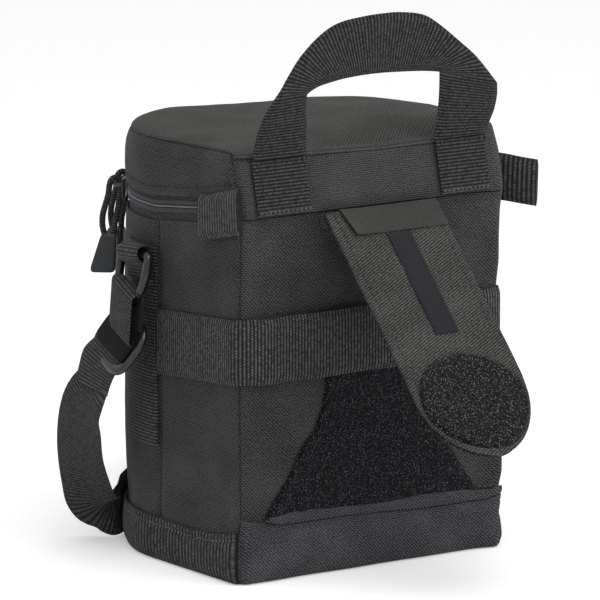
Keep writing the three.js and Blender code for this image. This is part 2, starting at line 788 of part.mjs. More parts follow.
// Shoulder strap: one length of webbing from the adjuster to the other ring. Each half hangs to the
// ground, turns on edge and winds with the other into a flat coil in front of the pouch, where the
// two halves meet at the middle. Each step is a place and the direction across the webbing.
const lyingHeight = strapWidth / 2 + gap;
const halfTurns = (coilOuter / coilPitch) * 2;
const coilStepsPerTurn = 24;

function coilSteps(phase, turns) {
  const steps = [];
  const count = Math.round(turns * coilStepsPerTurn);
  for (let k = count; k >= 1; k -= 1) {
    const angle = (k / coilStepsPerTurn) * 2 * Math.PI;
    const reach = (angle / (2 * Math.PI)) * coilPitch;
    steps.push([new THREE.Vector3(
      coilMiddle.x + reach * Math.cos(phase - angle),
      coilMiddle.y + reach * Math.sin(phase - angle),
      lyingHeight), zAxis]);
  }
  return steps;
}

const leftHang = [
  [[80.4, -13.4, 75.5], [0.17, 0.98, 0]],
  [[83, -14, 69.8], [0.1, 0.98, -0.08]],
  [[83.2, -20.4, 61.6], [0, 0.97, -0.15]],
  [[80.8, -26.4, 51.8], [-0.15, 0.96, -0.2]],
  [[77.4, -31.8, 41.4], [-0.22, 0.95, -0.15]],
  [[73.2, -36, 31.6], [-0.26, 0.94, 0]],
  [[69, -39, 22.6], [-0.28, 0.92, 0.15]],
  [[65.6, -40.6, 16.6], [-0.26, 0.88, 0.38]],
  [[61.8, -41, 13.4], [-0.12, 0.75, 0.62]],
  [[57.8, -40.6, 12.9], [0.02, 0.5, 0.86]],
  [[53.6, -41.2, lyingHeight], [0, 0.12, 0.99]],
  [[48, -45.2, lyingHeight], [0, 0, 1]],
  [[40.4, -52.2, lyingHeight], [0, 0, 1]],
  [[29.6, -59.6, lyingHeight], [0, 0, 1]],
  [[16.6, -64.6, lyingHeight], [0, 0, 1]],
  [[2, -67, lyingHeight], [0, 0, 1]],
  [[-14, -68.6, lyingHeight], [0, 0, 1]],
  [[-30, -69.6, lyingHeight], [0, 0, 1]],
  [[-46, -70, lyingHeight], [0, 0, 1]],
];
const rightHang = [
  [[-74.6, -11.8, 81.4], [-0.15, 0.98, 0]],
  [[-75.6, -12.2, 72], [-0.15, 0.98, 0]],
  [[-78.6, -14, 60], [-0.2, 0.97, 0.05]],
  [[-82.8, -17, 48], [-0.3, 0.94, 0.1]],
  [[-87.8, -21.6, 36.6], [-0.45, 0.85, 0.2]],
  [[-93.6, -28.4, 26.6], [-0.5, 0.7, 0.45]],
  [[-99.6, -37, 18.6], [-0.35, 0.4, 0.8]],
  [[-105.4, -47.6, 14], [-0.1, 0.15, 0.98]],
  [[-110, -60, lyingHeight], [0, 0, 1]],
  [[-112.8, -74, lyingHeight], [0, 0, 1]],
  [[-114, -88, lyingHeight], [0, 0, 1]],
  [[-114.2, -102, lyingHeight], [0, 0, 1]],
];

function webbingAlong(steps) {
  const edges = steps.map(([place, across], k) => {
    const before = steps[Math.max(k - 1, 0)][0];
    const after = steps[Math.min(k + 1, steps.length - 1)][0];
    const along = after.clone().sub(before).normalize();
    const square = across.clone().addScaledVector(along, -across.dot(along)).setLength(strapWidth / 2);
    return [place.clone().add(square), place.clone().sub(square)];
  });
  return bandBetween(edges, strapPly);
}

const asSteps = (list) => list.map(([place, across]) => [
  new THREE.Vector3(...place), new THREE.Vector3(...across)]);
const leftTurns = halfTurns / 2;
const rightTurns = leftTurns + 0.25;
const leftPhase = Math.PI / 2 + leftTurns * 2 * Math.PI;
const leftSteps = [...asSteps(leftHang), ...coilSteps(leftPhase, leftTurns)];
const rightSteps = [...asSteps(rightHang), ...coilSteps(leftPhase + Math.PI, rightTurns)];
const allSteps = [...leftSteps, ...rightSteps.reverse()].map(([place]) => place);
let leastGap = Infinity;
allSteps.forEach((place, k) => {
  allSteps.slice(k + coilStepsPerTurn / 4).forEach((other) => {
    leastGap = Math.min(leastGap, place.distanceTo(other) - strapPly);
  });
});
console.log(`least gap between the strap's turns ${leastGap.toFixed(2)} mm`);
rightSteps.reverse();
add('shoulder_strap_left', 'webbing', webbingAlong(leftSteps));
add('shoulder_strap_right', 'webbing', webbingAlong(rightSteps));

// Zip sliders: a plate over the coils with a flange below them, and a bail for the cord of the pull.
const sliderOut = halfWidth + coilOut + sliderStandOff;
const bailInner = sliderOut + sliderPlate + cordDiameter + 3 * gap;
const bailMiddle = bailInner + bailThickness / 2;
const bailHeightAt = zipLine + coilHeight + gap;
const cordBend = (Math.hypot(bailThickness, bailHeight) + cordDiameter + gap) / 2;
const bailHalfLength = sliderLength / 2 - fabric;

function blockAt(fromOut, toOut, fromAcross, toAcross, low, high) {
  const block = new THREE.BoxGeometry(toOut - fromOut, toAcross - fromAcross, high - low);
  return solidOf(block.translate(
    (fromOut + toOut) / 2, (fromAcross + toAcross) / 2, (low + high) / 2));
}

function slider() {
  const half = sliderLength / 2;
  const low = zipLine - sliderHeight / 2;
  const flangeTop = coilLow - gap;
  const bailLow = bailHeightAt - bailHeight / 2;
  const bailTop = bailHeightAt + bailHeight / 2;
  let solid = blockAt(sliderOut, sliderOut + sliderPlate, -half, half, low, low + sliderHeight);
  solid = solid.add(blockAt(
    halfWidth + tapeOut + 2 * gap, sliderOut + sliderPlate / 2, -half, half, low, flangeTop));
  solid = solid.add(blockAt(
    bailInner, bailInner + bailThickness, -bailHalfLength, bailHalfLength, bailLow, bailTop));
  [-1, 1].forEach((side) => {
    const ends = [side * bailHalfLength, side * (bailHalfLength - fabric)].sort((a, b) => a - b);
    solid = solid.add(blockAt(
      sliderOut + sliderPlate / 2, bailInner + bailThickness / 2, ...ends, bailLow, bailTop));
  });
  return geometryOf(solid);
}

// The cord goes up inside the bail, over it and down again to the grip.
const cordEnd = bailHeightAt - cordDrop;
const gripMiddle = bailMiddle + pullLean;

function pullCord() {
  const strands = (side, shares) => shares.map(([down, out]) => new THREE.Vector3(
    bailMiddle + side * cordBend + out * pullLean, 0, bailHeightAt - down * cordDrop));
  const inner = strands(-1, [[1, 1.25], [0.7, 0.8], [0.3, 0.5], [0.1, 0]]);
  const outer = strands(1, [[0.1, 0.12], [0.3, 0.4], [0.7, 1.25], [1, 0.85]]);
  const over = [0, 0.25, 0.5, 0.75, 1].map((share) => new THREE.Vector3(
    bailMiddle - cordBend * Math.cos(share * Math.PI), 0,
    bailHeightAt + cordBend * Math.sin(share * Math.PI)));
  const path = new THREE.CatmullRomCurve3([...inner, ...over, ...outer]);
  const section = new THREE.Shape(circle(cordDiameter / 2, 0, 0, 8));
  return new THREE.ExtrudeGeometry(section, { steps: 30, bevelEnabled: false, extrudePath: path });
}

function pullGrip() {
  const lean = pullLean * (gripHeight / cordDrop);
  const bevel = fabric * 0.8;
  const top = cordEnd - gap - bevel;
  const low = top + 2 * bevel - gripHeight;
  const shape = new THREE.Shape([
    new THREE.Vector2(gripMiddle - gripTop / 2 + bevel, top),
    new THREE.Vector2(gripMiddle + lean - gripBottom / 2 + bevel, low),
    new THREE.Vector2(gripMiddle + lean + gripBottom / 2 - bevel, low),
    new THREE.Vector2(gripMiddle + gripTop / 2 - bevel, top),
  ]);
  const deep = gripDepth - 2 * bevel;
  const grip = new THREE.ExtrudeGeometry(shape, {
    depth: deep, bevelEnabled: true, bevelThickness: bevel, bevelSize: bevel, bevelSegments: 2,
  });
  return alongWall(grip, deep / 2);
}

Object.entries(sliderAngles).forEach(([name, angle]) => {
  const side = beside(-THREE.MathUtils.degToRad(angle));
  add(`zip_slider_${name}`, 'plastic', slider(), side);
  add(`pull_cord_${name}`, 'webbing', pullCord(), side);
  add(`pull_grip_${name}`, 'plastic', pullGrip(), side);
});

// Zip end tabs: doubled webbing sewn on the side wall at the zip's end, free at the back.
const tabStart = zipEnd + 2 * fabric;
[['left', 1], ['right', -1]].forEach(([name, side]) => {
  const group = new THREE.Group();
  group.position.set(side * (halfWidth + gap), tabStart, 0);
  const flare = THREE.MathUtils.degToRad(tabFlare[name]);
  group.rotation.z = Math.PI / 2 - side * flare;
  pouch.add(group);
  const middle = tabMiddle[name];
  const climb = tabClimb[name];
  const points = [
    new THREE.Vector2(gap, middle - tabWidth / 2),
    new THREE.Vector2(tabLength, middle - tabWidth / 2 + climb),
    new THREE.Vector2(tabLength, middle + tabWidth / 2 + climb),
    new THREE.Vector2(gap, middle + tabWidth / 2),
  ];
  const tab = extruded(points, tabPly).rotateX(Math.PI / 2);
  add(`zip_end_tab_${name}`, 'webbing', side > 0 ? tab : tab.translate(0, tabPly, 0), group);
});

export default pouch;
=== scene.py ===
import math
import bmesh
import bpy
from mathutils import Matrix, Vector, noise


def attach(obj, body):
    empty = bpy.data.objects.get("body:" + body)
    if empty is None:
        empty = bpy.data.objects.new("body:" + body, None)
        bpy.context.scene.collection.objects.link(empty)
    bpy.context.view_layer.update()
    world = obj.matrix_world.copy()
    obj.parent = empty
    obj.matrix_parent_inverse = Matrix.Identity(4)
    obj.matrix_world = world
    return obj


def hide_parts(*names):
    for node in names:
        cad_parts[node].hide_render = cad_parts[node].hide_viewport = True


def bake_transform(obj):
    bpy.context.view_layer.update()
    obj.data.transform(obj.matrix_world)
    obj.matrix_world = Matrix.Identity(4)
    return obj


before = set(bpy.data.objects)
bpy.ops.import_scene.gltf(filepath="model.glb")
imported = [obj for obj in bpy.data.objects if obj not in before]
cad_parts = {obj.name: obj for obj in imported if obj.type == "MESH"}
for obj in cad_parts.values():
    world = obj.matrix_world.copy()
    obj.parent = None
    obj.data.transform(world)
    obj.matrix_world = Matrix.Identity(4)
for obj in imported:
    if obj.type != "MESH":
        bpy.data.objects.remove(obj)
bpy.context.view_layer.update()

# The camera: a long lens a little above the pouch, looking at its back and its left side.
# The pouch is 127 mm wide and stands with its round front away from the camera.
AIM = Vector((0, 0, 0.085))
AZIMUTH = math.radians(144.8)
ELEVATION = math.radians(11.2)
DISTANCE = 2.917
FOCAL_PIXELS = 7270
IMAGE_PIXELS = 600
SENSOR = 36
AIM_OFFSET = (15.9, 31.4)

look = Vector((
    -math.sin(AZIMUTH) * math.cos(ELEVATION),
    math.cos(AZIMUTH) * math.cos(ELEVATION),
    -math.sin(ELEVATION)))
camera_data = bpy.data.cameras.new("studio_camera")
camera_data.sensor_width = SENSOR
camera_data.lens = FOCAL_PIXELS * SENSOR / IMAGE_PIXELS
camera_data.shift_x = AIM_OFFSET[0] / IMAGE_PIXELS
camera_data.shift_y = AIM_OFFSET[1] / IMAGE_PIXELS
camera_data.clip_end = 20
camera = bpy.data.objects.new("studio_camera", camera_data)
camera.location = AIM - look * DISTANCE
camera.rotation_euler = look.to_track_quat("-Z", "Y").to_euler()
bpy.context.scene.collection.objects.link(camera)
bpy.context.scene.camera = camera

# The shoulder strap: 25 mm woven nylon webbing, about 1.25 m long with its sewn end loops.
# It hangs from the adjuster, stands on edge round the front and is wound up there with its
# other half, which hangs from the far ring. The two halves meet at the middle of the coil.
MM = 0.001
STRAP_WIDTH = 25
STRAP_THICK = 1.5
STRAP_EDGE = 12.8
COIL_MIDDLE = (-63, -116)
COIL_PITCH = 18.85
COIL_OUTER = 46
COIL_STEPS = 48
LEFT_STRAP = [
    [80.4, -13.4, 75.5, 0.17, 0.98, 0], [83, -14, 69.8, 0.1, 0.98, -0.08],
    [83.2, -20.4, 61.6, 0, 0.97, -0.15], [80.8, -26.4, 51.8, -0.15, 0.96, -0.2],
    [77.4, -31.8, 41.4, -0.22, 0.95, -0.15], [73.2, -36, 31.6, -0.26, 0.94, 0],
    [69, -39, 22.6, -0.28, 0.92, 0.15], [65.6, -40.6, 16.6, -0.26, 0.88, 0.38],
    [61.8, -41, 13.4, -0.12, 0.75, 0.62], [57.8, -40.6, 12.9, 0.02, 0.5, 0.86],
    [53.6, -41.2, STRAP_EDGE, 0, 0.12, 0.99], [48, -45.2, STRAP_EDGE, 0, 0, 1],
    [40.4, -52.2, STRAP_EDGE, 0, 0, 1], [29.6, -59.6, STRAP_EDGE, 0, 0, 1],
    [16.6, -64.6, STRAP_EDGE, 0, 0, 1], [2, -67, STRAP_EDGE, 0, 0, 1],
    [-14, -68.6, STRAP_EDGE, 0, 0, 1], [-30, -69.6, STRAP_EDGE, 0, 0, 1],
    [-46, -70, STRAP_EDGE, 0, 0, 1],
]
RIGHT_STRAP = [
    [-74.6, -11.8, 81.4, -0.15, 0.98, 0], [-75.6, -12.2, 72, -0.15, 0.98, 0],
    [-78.6, -14, 60, -0.2, 0.97, 0.05], [-82.8, -17, 48, -0.3, 0.94, 0.1],
    [-87.8, -21.6, 36.6, -0.45, 0.85, 0.2], [-93.6, -28.4, 26.6, -0.5, 0.7, 0.45],
    [-99.6, -37, 18.6, -0.35, 0.4, 0.8], [-105.4, -47.6, 14, -0.1, 0.15, 0.98],
    [-110, -60, STRAP_EDGE, 0, 0, 1], [-112.8, -74, STRAP_EDGE, 0, 0, 1],
    [-114, -88, STRAP_EDGE, 0, 0, 1], [-114.2, -102, STRAP_EDGE, 0, 0, 1],
]


def linear(hex_colour):
    """An sRGB hex colour as linear values for a shader socket."""
    channels = [int(hex_colour[k:k + 2], 16) / 255 for k in (0, 2, 4)]
    return [c / 12.92 if c <= 0.04045 else ((c + 0.055) / 1.055) ** 2.4 for c in channels] + [1]


def add_node(tree, kind, inputs=None, links=None, **settings):
    """One shader node with its settings, its input values and the sockets linked to it."""
    node = tree.nodes.new(kind)
    for name, value in settings.items():
        setattr(node, name, value)
    for name, value in (inputs or {}).items():
        node.inputs[name].default_value = value
    for name, socket in (links or {}).items():
        tree.links.new(socket, node.inputs[name])
    return node


def surface(name, roughness, sheen=0.0, coat=0.0, specular=0.5):
    """A material with one surface shader: its tree and that shader."""
    material = bpy.data.materials.new(name)
    material.use_nodes = True
    shader = material.node_tree.nodes["Principled BSDF"]
    for socket, value in (("Roughness", roughness), ("Sheen Weight", sheen),
                          ("Sheen Roughness", 0.5), ("Coat Weight", coat),
                          ("Specular IOR Level", specular)):
        shader.inputs[socket].default_value = value
    return material, material.node_tree, shader


def colour_by(tree, shader, shade, tones, relief=None, strength=0.0, depth=0.0):
    """Colours a surface by its shade, in (place, hex) tones, and raises it by its relief in mm."""
    ramp = add_node(tree, "ShaderNodeValToRGB", links={"Fac": shade})
    spots = ramp.color_ramp.elements
    for place, hex_colour in tones[1:-1]:
        spots.new(place)
    for spot, (place, hex_colour) in zip(spots, tones):
        spot.position, spot.color = place, linear(hex_colour)
    tree.links.new(ramp.outputs["Color"], shader.inputs["Base Color"])
    if relief is not None:
        bump = add_node(tree, "ShaderNodeBump", links={"Height": relief},
                        inputs={"Strength": strength, "Distance": depth * MM})
        tree.links.new(bump.outputs["Normal"], shader.inputs["Normal"])


# A wave texture's bands repeat once in 2 pi / 20 units, or in 2 pi / 10 of the sum of both
# coordinates where they run diagonally. Their scale follows from the real pitch in mm.
WAVE_TURN = 20
DIAGONAL_TURN = 10 * math.sqrt(2)


def webbing_cloth(name, high, low, rib=1.35, yarn=1.1):
    """Nylon webbing: ribs across the band, each a row of short staggered yarn floats."""
    material, tree, shader = surface(name, 0.85, sheen=0.05, specular=0.2)
    flat = add_node(tree, "ShaderNodeUVMap", uv_map="weave").outputs["UV"]
    ribs = add_node(tree, "ShaderNodeTexWave", links={"Vector": flat}, bands_direction="Y",
                    inputs={"Scale": 2 * math.pi / (WAVE_TURN * rib * MM), "Distortion": 0.25,
                            "Detail": 1, "Detail Scale": 1})
    floats = add_node(tree, "ShaderNodeTexBrick", links={"Vector": flat},
                      inputs={"Scale": 100, "Brick Width": yarn / 10, "Row Height": rib / 10,
                              "Mortar Size": 0.016, "Mortar Smooth": 0.7,
                              "Color1": linear("ffffff"), "Color2": linear("b0b0b0"),
                              "Mortar": linear("808080")})
    uneven = add_node(tree, "ShaderNodeTexNoise", inputs={"Scale": 700, "Detail": 3},
                      links={"Vector": flat})
    height = add_node(tree, "ShaderNodeMath", operation="MULTIPLY",
                      links={0: ribs.outputs["Fac"], 1: floats.outputs["Color"]}).outputs[0]
    shade = add_node(tree, "ShaderNodeMath", operation="MULTIPLY",
                     links={0: height, 1: uneven.outputs["Fac"]}).outputs[0]
    colour_by(tree, shader, shade, [(0.03, low), (0.4, high)], height, 0.6, 0.4)
    return material


def make_piece(name, corners, faces, weave, finish, body, nodes=(), wrap=0, crease=50):
    """A piece from corners in mm, with the cloth's flat coordinates stored beside them."""
    mesh = bpy.data.meshes.new(name)
    mesh.from_pydata([Vector(corner) * MM for corner in corners], [], faces)
    mesh.materials.append(finish)
    flat = mesh.uv_layers.new(name="weave")
    for face in mesh.polygons:
        spots = [list(weave[mesh.loops[k].vertex_index]) for k in face.loop_indices]
        top = max(spot[1] for spot in spots)
        for spot in spots:
            if wrap and top - spot[1] > wrap / 2:
                spot[1] += wrap
        for k, spot in zip(face.loop_indices, spots):
            flat.data[k].uv = (spot[0] * MM, spot[1] * MM)
    tidy = bmesh.new()
    tidy.from_mesh(mesh)
    bmesh.ops.recalc_face_normals(tidy, faces=tidy.faces)
    tidy.to_mesh(mesh)
    tidy.free()
    mesh.shade_smooth()
    mesh.set_sharp_from_angle(angle=math.radians(crease))
    piece = bpy.data.objects.new(name, mesh)
    bpy.context.scene.collection.objects.link(piece)
    if body:
        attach(piece, body)
    if nodes:
        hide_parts(*nodes)
    return piece


def smooth_line(points, steps):
    """More points on a smooth curve through the given ones."""
    line = []
    for k in range(len(points) - 1):
        before, start = points[max(k - 1, 0)], points[k]
        end, after = points[k + 1], points[min(k + 2, len(points) - 1)]
        for step in range(steps):
            t = step / steps
            line.append((start * 2 + (end - before) * t
                         + (before * 2 - start * 5 + end * 4 - after) * t ** 2
                         + (start * 3 - before - end * 3 + after) * t ** 3) / 2)
    return line + [points[-1]]


def loft(name, rings, flats, finish, body, nodes, closed=False, wrap=0, crease=40):
    """A piece through rings of corners, closed on itself or with a face at each end."""
    count, size = len(rings), len(rings[0])
    faces = []
    for k in range(count if closed else count - 1):
        a, b = k * size, (k + 1) % count * size
        faces += [(a + j, a + (j + 1) % size, b + (j + 1) % size, b + j) for j in range(size)]
    if not closed:
        faces += [tuple(range(size)), tuple(range((count - 1) * size, count * size))[::-1]]
    corners = [corner for ring in rings for corner in ring]
    flats = flats or [(corner.x, corner.z) for corner in corners]
    return make_piece(name, corners, faces, flats, finish, body, nodes, wrap, crease)


def webbing_band(name, edges, thick, finish, body, nodes=(), closed=False, columns=8, soft=6):
    """A band between two edge lines, with rounded selvedges."""
    shares = [j / columns for j in range(columns + 1)]
    section = [(t, thick / 2 * (1 - abs(2 * t - 1) ** soft) ** 0.5) for t in shares]
    section += [(t, -rise) for t, rise in section[-2:0:-1]]
    rings, flats, length = [], [], 0
    for k, (a, b) in enumerate(edges):
        near = edges[k - 1] if k or closed else edges[0]
        far = edges[(k + 1) % len(edges)] if closed else edges[min(k + 1, len(edges) - 1)]
        along = (far[0] + far[1] - near[0] - near[1]).normalized()
        across = b - a
        face = along.cross(across).normalized()
        if k:
            length += ((a + b) / 2 - (edges[k - 1][0] + edges[k - 1][1]) / 2).length
        rings.append([a + across * t + face * rise for t, rise in section])
        flats += [(across.length * t, length) for t, rise in section]
    return loft(name, rings, flats, finish, body, nodes, closed,
                length if closed else 0, 50)


def strap_stations(rows, phase, turns):
    """Middles and edges of the strap along its hanging part and its coil."""
    middles = smooth_line([Vector(row[:3]) for row in rows], 4)
    leans = smooth_line([Vector(row[3:]) for row in rows], 4)
    for k in range(round(turns * COIL_STEPS), 1, -1):
        angle = k / COIL_STEPS * 2 * math.pi
        reach = angle / (2 * math.pi) * COIL_PITCH
        middles.append(Vector((
            COIL_MIDDLE[0] + reach * math.cos(phase - angle),
            COIL_MIDDLE[1] + reach * math.sin(phase - angle), STRAP_EDGE)))
        leans.append(Vector((0, 0, 1)))
    edges = []
    for k, (middle, lean) in enumerate(zip(middles, leans)):
        along = (middles[min(k + 1, len(middles) - 1)] - middles[max(k - 1, 0)]).normalized()
        across = (lean - along * lean.dot(along)).normalized() * STRAP_WIDTH / 2
        edges.append((middle - across, middle + across))
    return middles, edges


strap_webbing = webbing_cloth("woven_nylon_strap_webbing", "4e4e4f", "18181a")
half_turns = COIL_OUTER / COIL_PITCH
left_phase = math.pi / 2 + half_turns * 2 * math.pi
for side, rows, phase, turns in (
        ("left", LEFT_STRAP, left_phase, half_turns),
        ("right", RIGHT_STRAP, left_phase + math.pi, half_turns + 0.25)):
    middles, edges = strap_stations(rows, phase, turns)
    strap = webbing_band(f"strap_webbing_{side}", edges, STRAP_THICK, strap_webbing, "body",
                         [f"shoulder_strap_{side}"])

# The body's wall: dark grey nylon twill over foam, sewn from a round front, two side panels
# and a back panel. Each panel's edge sinks a little where the seam draws it in. The twill's
# ridges are drawn about 1 mm apart, as coarse as they need to be to show.
SIDES = ((1, "left"), (-1, "right"))
HALF_WIDTH = 63
BACK_DEPTH = 59
CORNER = 4
FRONT_RUN = HALF_WIDTH * math.pi / 2
SIDE_RUN = BACK_DEPTH - CORNER
CORNER_SEAM = CORNER * math.pi / 4
WALL_END = FRONT_RUN + SIDE_RUN + CORNER_SEAM
SEAM_AT = 3
WALL_SEAM = FRONT_RUN + SEAM_AT
WALL_THICK = 1
WAIST = 0.7
SWELL = 1.7
SWELL_AT = (60, 74)
SWELL_REACH = (25, 52)
BODY_TOP = 137
ZIP_END = 31
ZIP_RISE = 3.7
BAND_LOW = 145.3
LID_RIM = 169
BAND_LEAN = 5.3


def twill_cloth(name, high, low, pitch=1.05, weft=0.9, cross=0.14, across=1, sheen=0.05):
    """Nylon twill: slanting ridges, crossed by the finer weft, broken by the yarn's grain and laid
    over soft blotches.
    """
    material, tree, shader = surface(name, 0.88, sheen=sheen, specular=0.2)
    lie = add_node(tree, "ShaderNodeUVMap", uv_map="weave").outputs["UV"]
    flat = add_node(tree, "ShaderNodeMapping", links={"Vector": lie},
                    inputs={"Scale": (-across, math.sqrt(2 - across ** 2), 1)}).outputs["Vector"]
    grain = add_node(tree, "ShaderNodeTexNoise", inputs={"Scale": 1300, "Detail": 2},
                     links={"Vector": flat})
    # Soft blotches about 2 cm across, a little lighter and darker, in the colour only.
    blotches = add_node(tree, "ShaderNodeTexNoise", inputs={"Scale": 45, "Detail": 3},
                    links={"Vector": flat})
    ridges, rows = [
        add_node(tree, "ShaderNodeTexWave", links={"Vector": flat}, bands_direction=way,
                 inputs={"Scale": 2 * math.pi / (turn * apart * MM), "Distortion": wobble,
                         "Detail": 1, "Detail Scale": 1})
        for way, turn, apart, wobble in (("DIAGONAL", DIAGONAL_TURN, pitch, 0.5),
                                         ("Y", WAVE_TURN, weft, 0.4))]
    sums = [add_node(tree, "ShaderNodeMath", operation="MULTIPLY", inputs={1: 0.2},
                     links={0: ridges.outputs["Fac"]}).outputs[0]]
    for pattern, weight in ((rows, cross), (grain, 0.55), (blotches, 0.26)):
        sums.append(add_node(tree, "ShaderNodeMath", operation="MULTIPLY_ADD", inputs={1: weight},
                             links={0: pattern.outputs["Fac"], 2: sums[-1]}).outputs[0])
    colour_by(tree, shader, sums[3], [(0.44, low), (0.74, high)], sums[2], 0.5, 0.6)
    return material


def wall_spot(run, out):
    """A place on the wall: run from the middle of the front, out from the wall's face."""
    side, along = (-1, -run) if run < 0 else (1, run)
    if along <= FRONT_RUN:
        angle = along / HALF_WIDTH
        reach = HALF_WIDTH + out
        return side * reach * math.sin(angle), -reach * math.cos(angle)
    if along <= FRONT_RUN + SIDE_RUN:
        return side * (HALF_WIDTH + out), along - FRONT_RUN
    angle = (along - FRONT_RUN - SIDE_RUN) / CORNER
    reach = CORNER + out
    straight = HALF_WIDTH - CORNER
    return side * (straight + reach * math.cos(angle)), SIDE_RUN + reach * math.sin(angle)


def lean_in(z, top=LID_RIM):
    """How far the back leans in at a height, from the body's edge up to its top."""
    return BAND_LEAN * max(0, z - BAND_LOW) / (top - BAND_LOW)


def wall_place(run, out, z):
    """The same as a point, drawn in towards the back where the lid's corner leans in."""
    x, y = wall_spot(run, out)
    return Vector((x, y - lean_in(z) * max(0, y - ZIP_END) / (BACK_DEPTH - ZIP_END), z))


def back_spot(across, out):
    """A place on the back, counted from its middle and on round the corners to the sides."""
    side, along = (-1, -across) if across < 0 else (1, across)
    straight = HALF_WIDTH - CORNER
    turn = CORNER * math.pi / 2
    if along <= straight:
        return across, BACK_DEPTH + out
    if along <= straight + turn:
        angle = (along - straight) / CORNER
        reach = CORNER + out
        return side * (straight + reach * math.sin(angle)), SIDE_RUN + reach * math.cos(angle)
    return side * (HALF_WIDTH + out), SIDE_RUN - (along - straight - turn)


def spaced(start, end, count):
    return [start + (end - start) * k / (count - 1) for k in range(count)]


def puckers(x, y, z, size, height):
    return height * noise.noise(Vector((x, y, z)) / size)


def cloth_slab(name, grid, thick, finish, body, nodes=(), soften=0.3, closed=False):
    """A sheet with a thickness, from rows of (outer point, outward direction, flat place)."""
    height, width = len(grid), len(grid[0])
    places = [place for row in grid for place in row]
    corners = [point - outward * depth for depth in (0, thick) for point, outward, flat in places]
    layer, spans = height * width, width if closed else width - 1
    faces = []
    for i in range(height - 1):
        for j in range(spans):
            a, b = i * width + j, i * width + (j + 1) % width
            faces += [(a, b, b + width, a + width),
                      (layer + a, layer + a + width, layer + b + width, layer + b)]
    rims = [(i + j, i + (j + 1) % width) for i in (0, layer - width) for j in range(spans)]
    if not closed:
        rims += [(k, k + width) for i in range(0, layer - width, width) for k in (i, i + width - 1)]
    faces += [(a, b, layer + b, layer + a) for a, b in rims]
    piece = make_piece(name, corners, faces, [flat for point, outward, flat in places] * 2,
                       finish, body, nodes)
    if soften:
        rounding = piece.modifiers.new("soft_edge", "BEVEL")
        rounding.width = soften * MM
        rounding.segments = 2
        rounding.limit_method = "ANGLE"
        rounding.angle_limit = math.radians(50)
    return piece


def seam_dip(distance, reach=1.6, depth=0.9):
    return depth * math.exp(-(distance / reach) ** 2)


def share_at(table, t):
    for (t0, v0), (t1, v1) in zip(table, table[1:]):
        if t <= t1:
            return v0 + (v1 - v0) * (t - t0) / (t1 - t0)
    return table[-1][1]


CORNER_FILL = [(0, 2.8), (7, 1.6), (13, 0.5), (19, 2), (25, 3), (31, 4.2), (45, 3.6), (60, 2.4),
               (78, 0.9), (104, 0.9), (115, 2), (137, 2), (146, 3.2), (161, 3.4), (172, 1.8)]


def corner_fill(side, distance, z):
    """The padding pushes the right back corner out beyond the left one."""
    return share_at(CORNER_FILL, z) * math.exp(-(distance / 8) ** 2) if side < 0 else 0


def zip_rise(y):
    return ZIP_RISE * min(max(y, 0), ZIP_END) / ZIP_END


def wall_out(run, z):
    """How far the padded wall stands out: a slight waist, soft dents and drawn-in seams."""
    x, y = wall_spot(run, 0)
    out = -WAIST * math.sin(math.pi * min(z, BODY_TOP) / BODY_TOP)
    out += puckers(x, y, z, 34, 0.55) + puckers(x, y, z, 9, 0.16)
    out += corner_fill(run, WALL_END - abs(run), z)
    out += SWELL * math.exp(-((run - SWELL_AT[0]) / SWELL_REACH[0]) ** 2
                            - ((z - SWELL_AT[1]) / SWELL_REACH[1]) ** 4)
    return out - seam_dip(abs(run) - WALL_SEAM) - seam_dip(WALL_END - abs(run), 0.7, 0.7)


def on_wall(run, out, z, along_wall=True):
    """A point on the wall, the way outward there, and its place on the flat cloth."""
    outward = wall_place(run, 1, z) - wall_place(run, 0, z)
    return wall_place(run, out, z), outward, (run, z) if along_wall else (z, run)


def wall_cloth(name, runs, low, high, rows, out, thick, finish, body, nodes=(),
               along_wall=True, soften=0.3):
    """Cloth laid on the wall between two heights."""
    grid = []
    for share in spaced(0, 1, rows):
        line = []
        for run in runs:
            y = wall_spot(run, 0)[1]
            z = low(run, y) + (high(run, y) - low(run, y)) * share
            line.append(on_wall(run, out(run, z), z, along_wall))
        grid.append(line)
    return cloth_slab(name, grid, thick, finish, body, nodes, soften)


body_twill = twill_cloth("woven_nylon_body_twill", "4d4d4e", "121213")
wall_cloth("front_twill_panel", spaced(-WALL_SEAM + 0.2, WALL_SEAM - 0.2, 110),
           lambda run, y: 1.4, lambda run, y: BODY_TOP + zip_rise(y), 46,
           wall_out, WALL_THICK, body_twill, "body", ["front_panel"])

SLIT_LOW = 137.4
side_heights = spaced(1.4, 136, 34) + spaced(SLIT_LOW, 140.7, 5) + spaced(142.5, 150.4, 5)
corner_steps = [k * CORNER_SEAM / 5 for k in range(1, 6)]
for side, name in SIDES:
    grid = []
    for z in side_heights:
        front = min(31.6, SEAM_AT + 0.2 + max(0, z - SLIT_LOW) * 28.3 / 3.3)
        runs = [side * (FRONT_RUN + y) for y in
                spaced(front, SIDE_RUN, 26) + [SIDE_RUN + step for step in corner_steps]]
        grid.append([on_wall(run, wall_out(run, z), z) for run in runs])
    cloth_slab(f"side_twill_panel_{name}", grid, WALL_THICK, body_twill, "body",
               [f"side_panel_{name}"])

CREASE_AT = (42, 40)
CREASE_REACH = (12, 26)
back_end = HALF_WIDTH - CORNER + CORNER * math.pi / 2
back_seam = HALF_WIDTH - CORNER + CORNER_SEAM
corner_columns = [HALF_WIDTH - CORNER + step for step in corner_steps]
back_columns = [-across for across in corner_columns[::-1]]
back_columns += spaced(CORNER - HALF_WIDTH, HALF_WIDTH - CORNER, 78) + corner_columns


def on_back(across, out, z, lean=0):
    """The same as on_wall, for the back and its corners, moved in by its lean."""
    x, y = back_spot(across, out)
    base, ahead = back_spot(across, 0), back_spot(across, 1)
    outward = Vector((ahead[0] - base[0], ahead[1] - base[1], 0))
    return Vector((x, y - lean, z)), outward, (across, z)


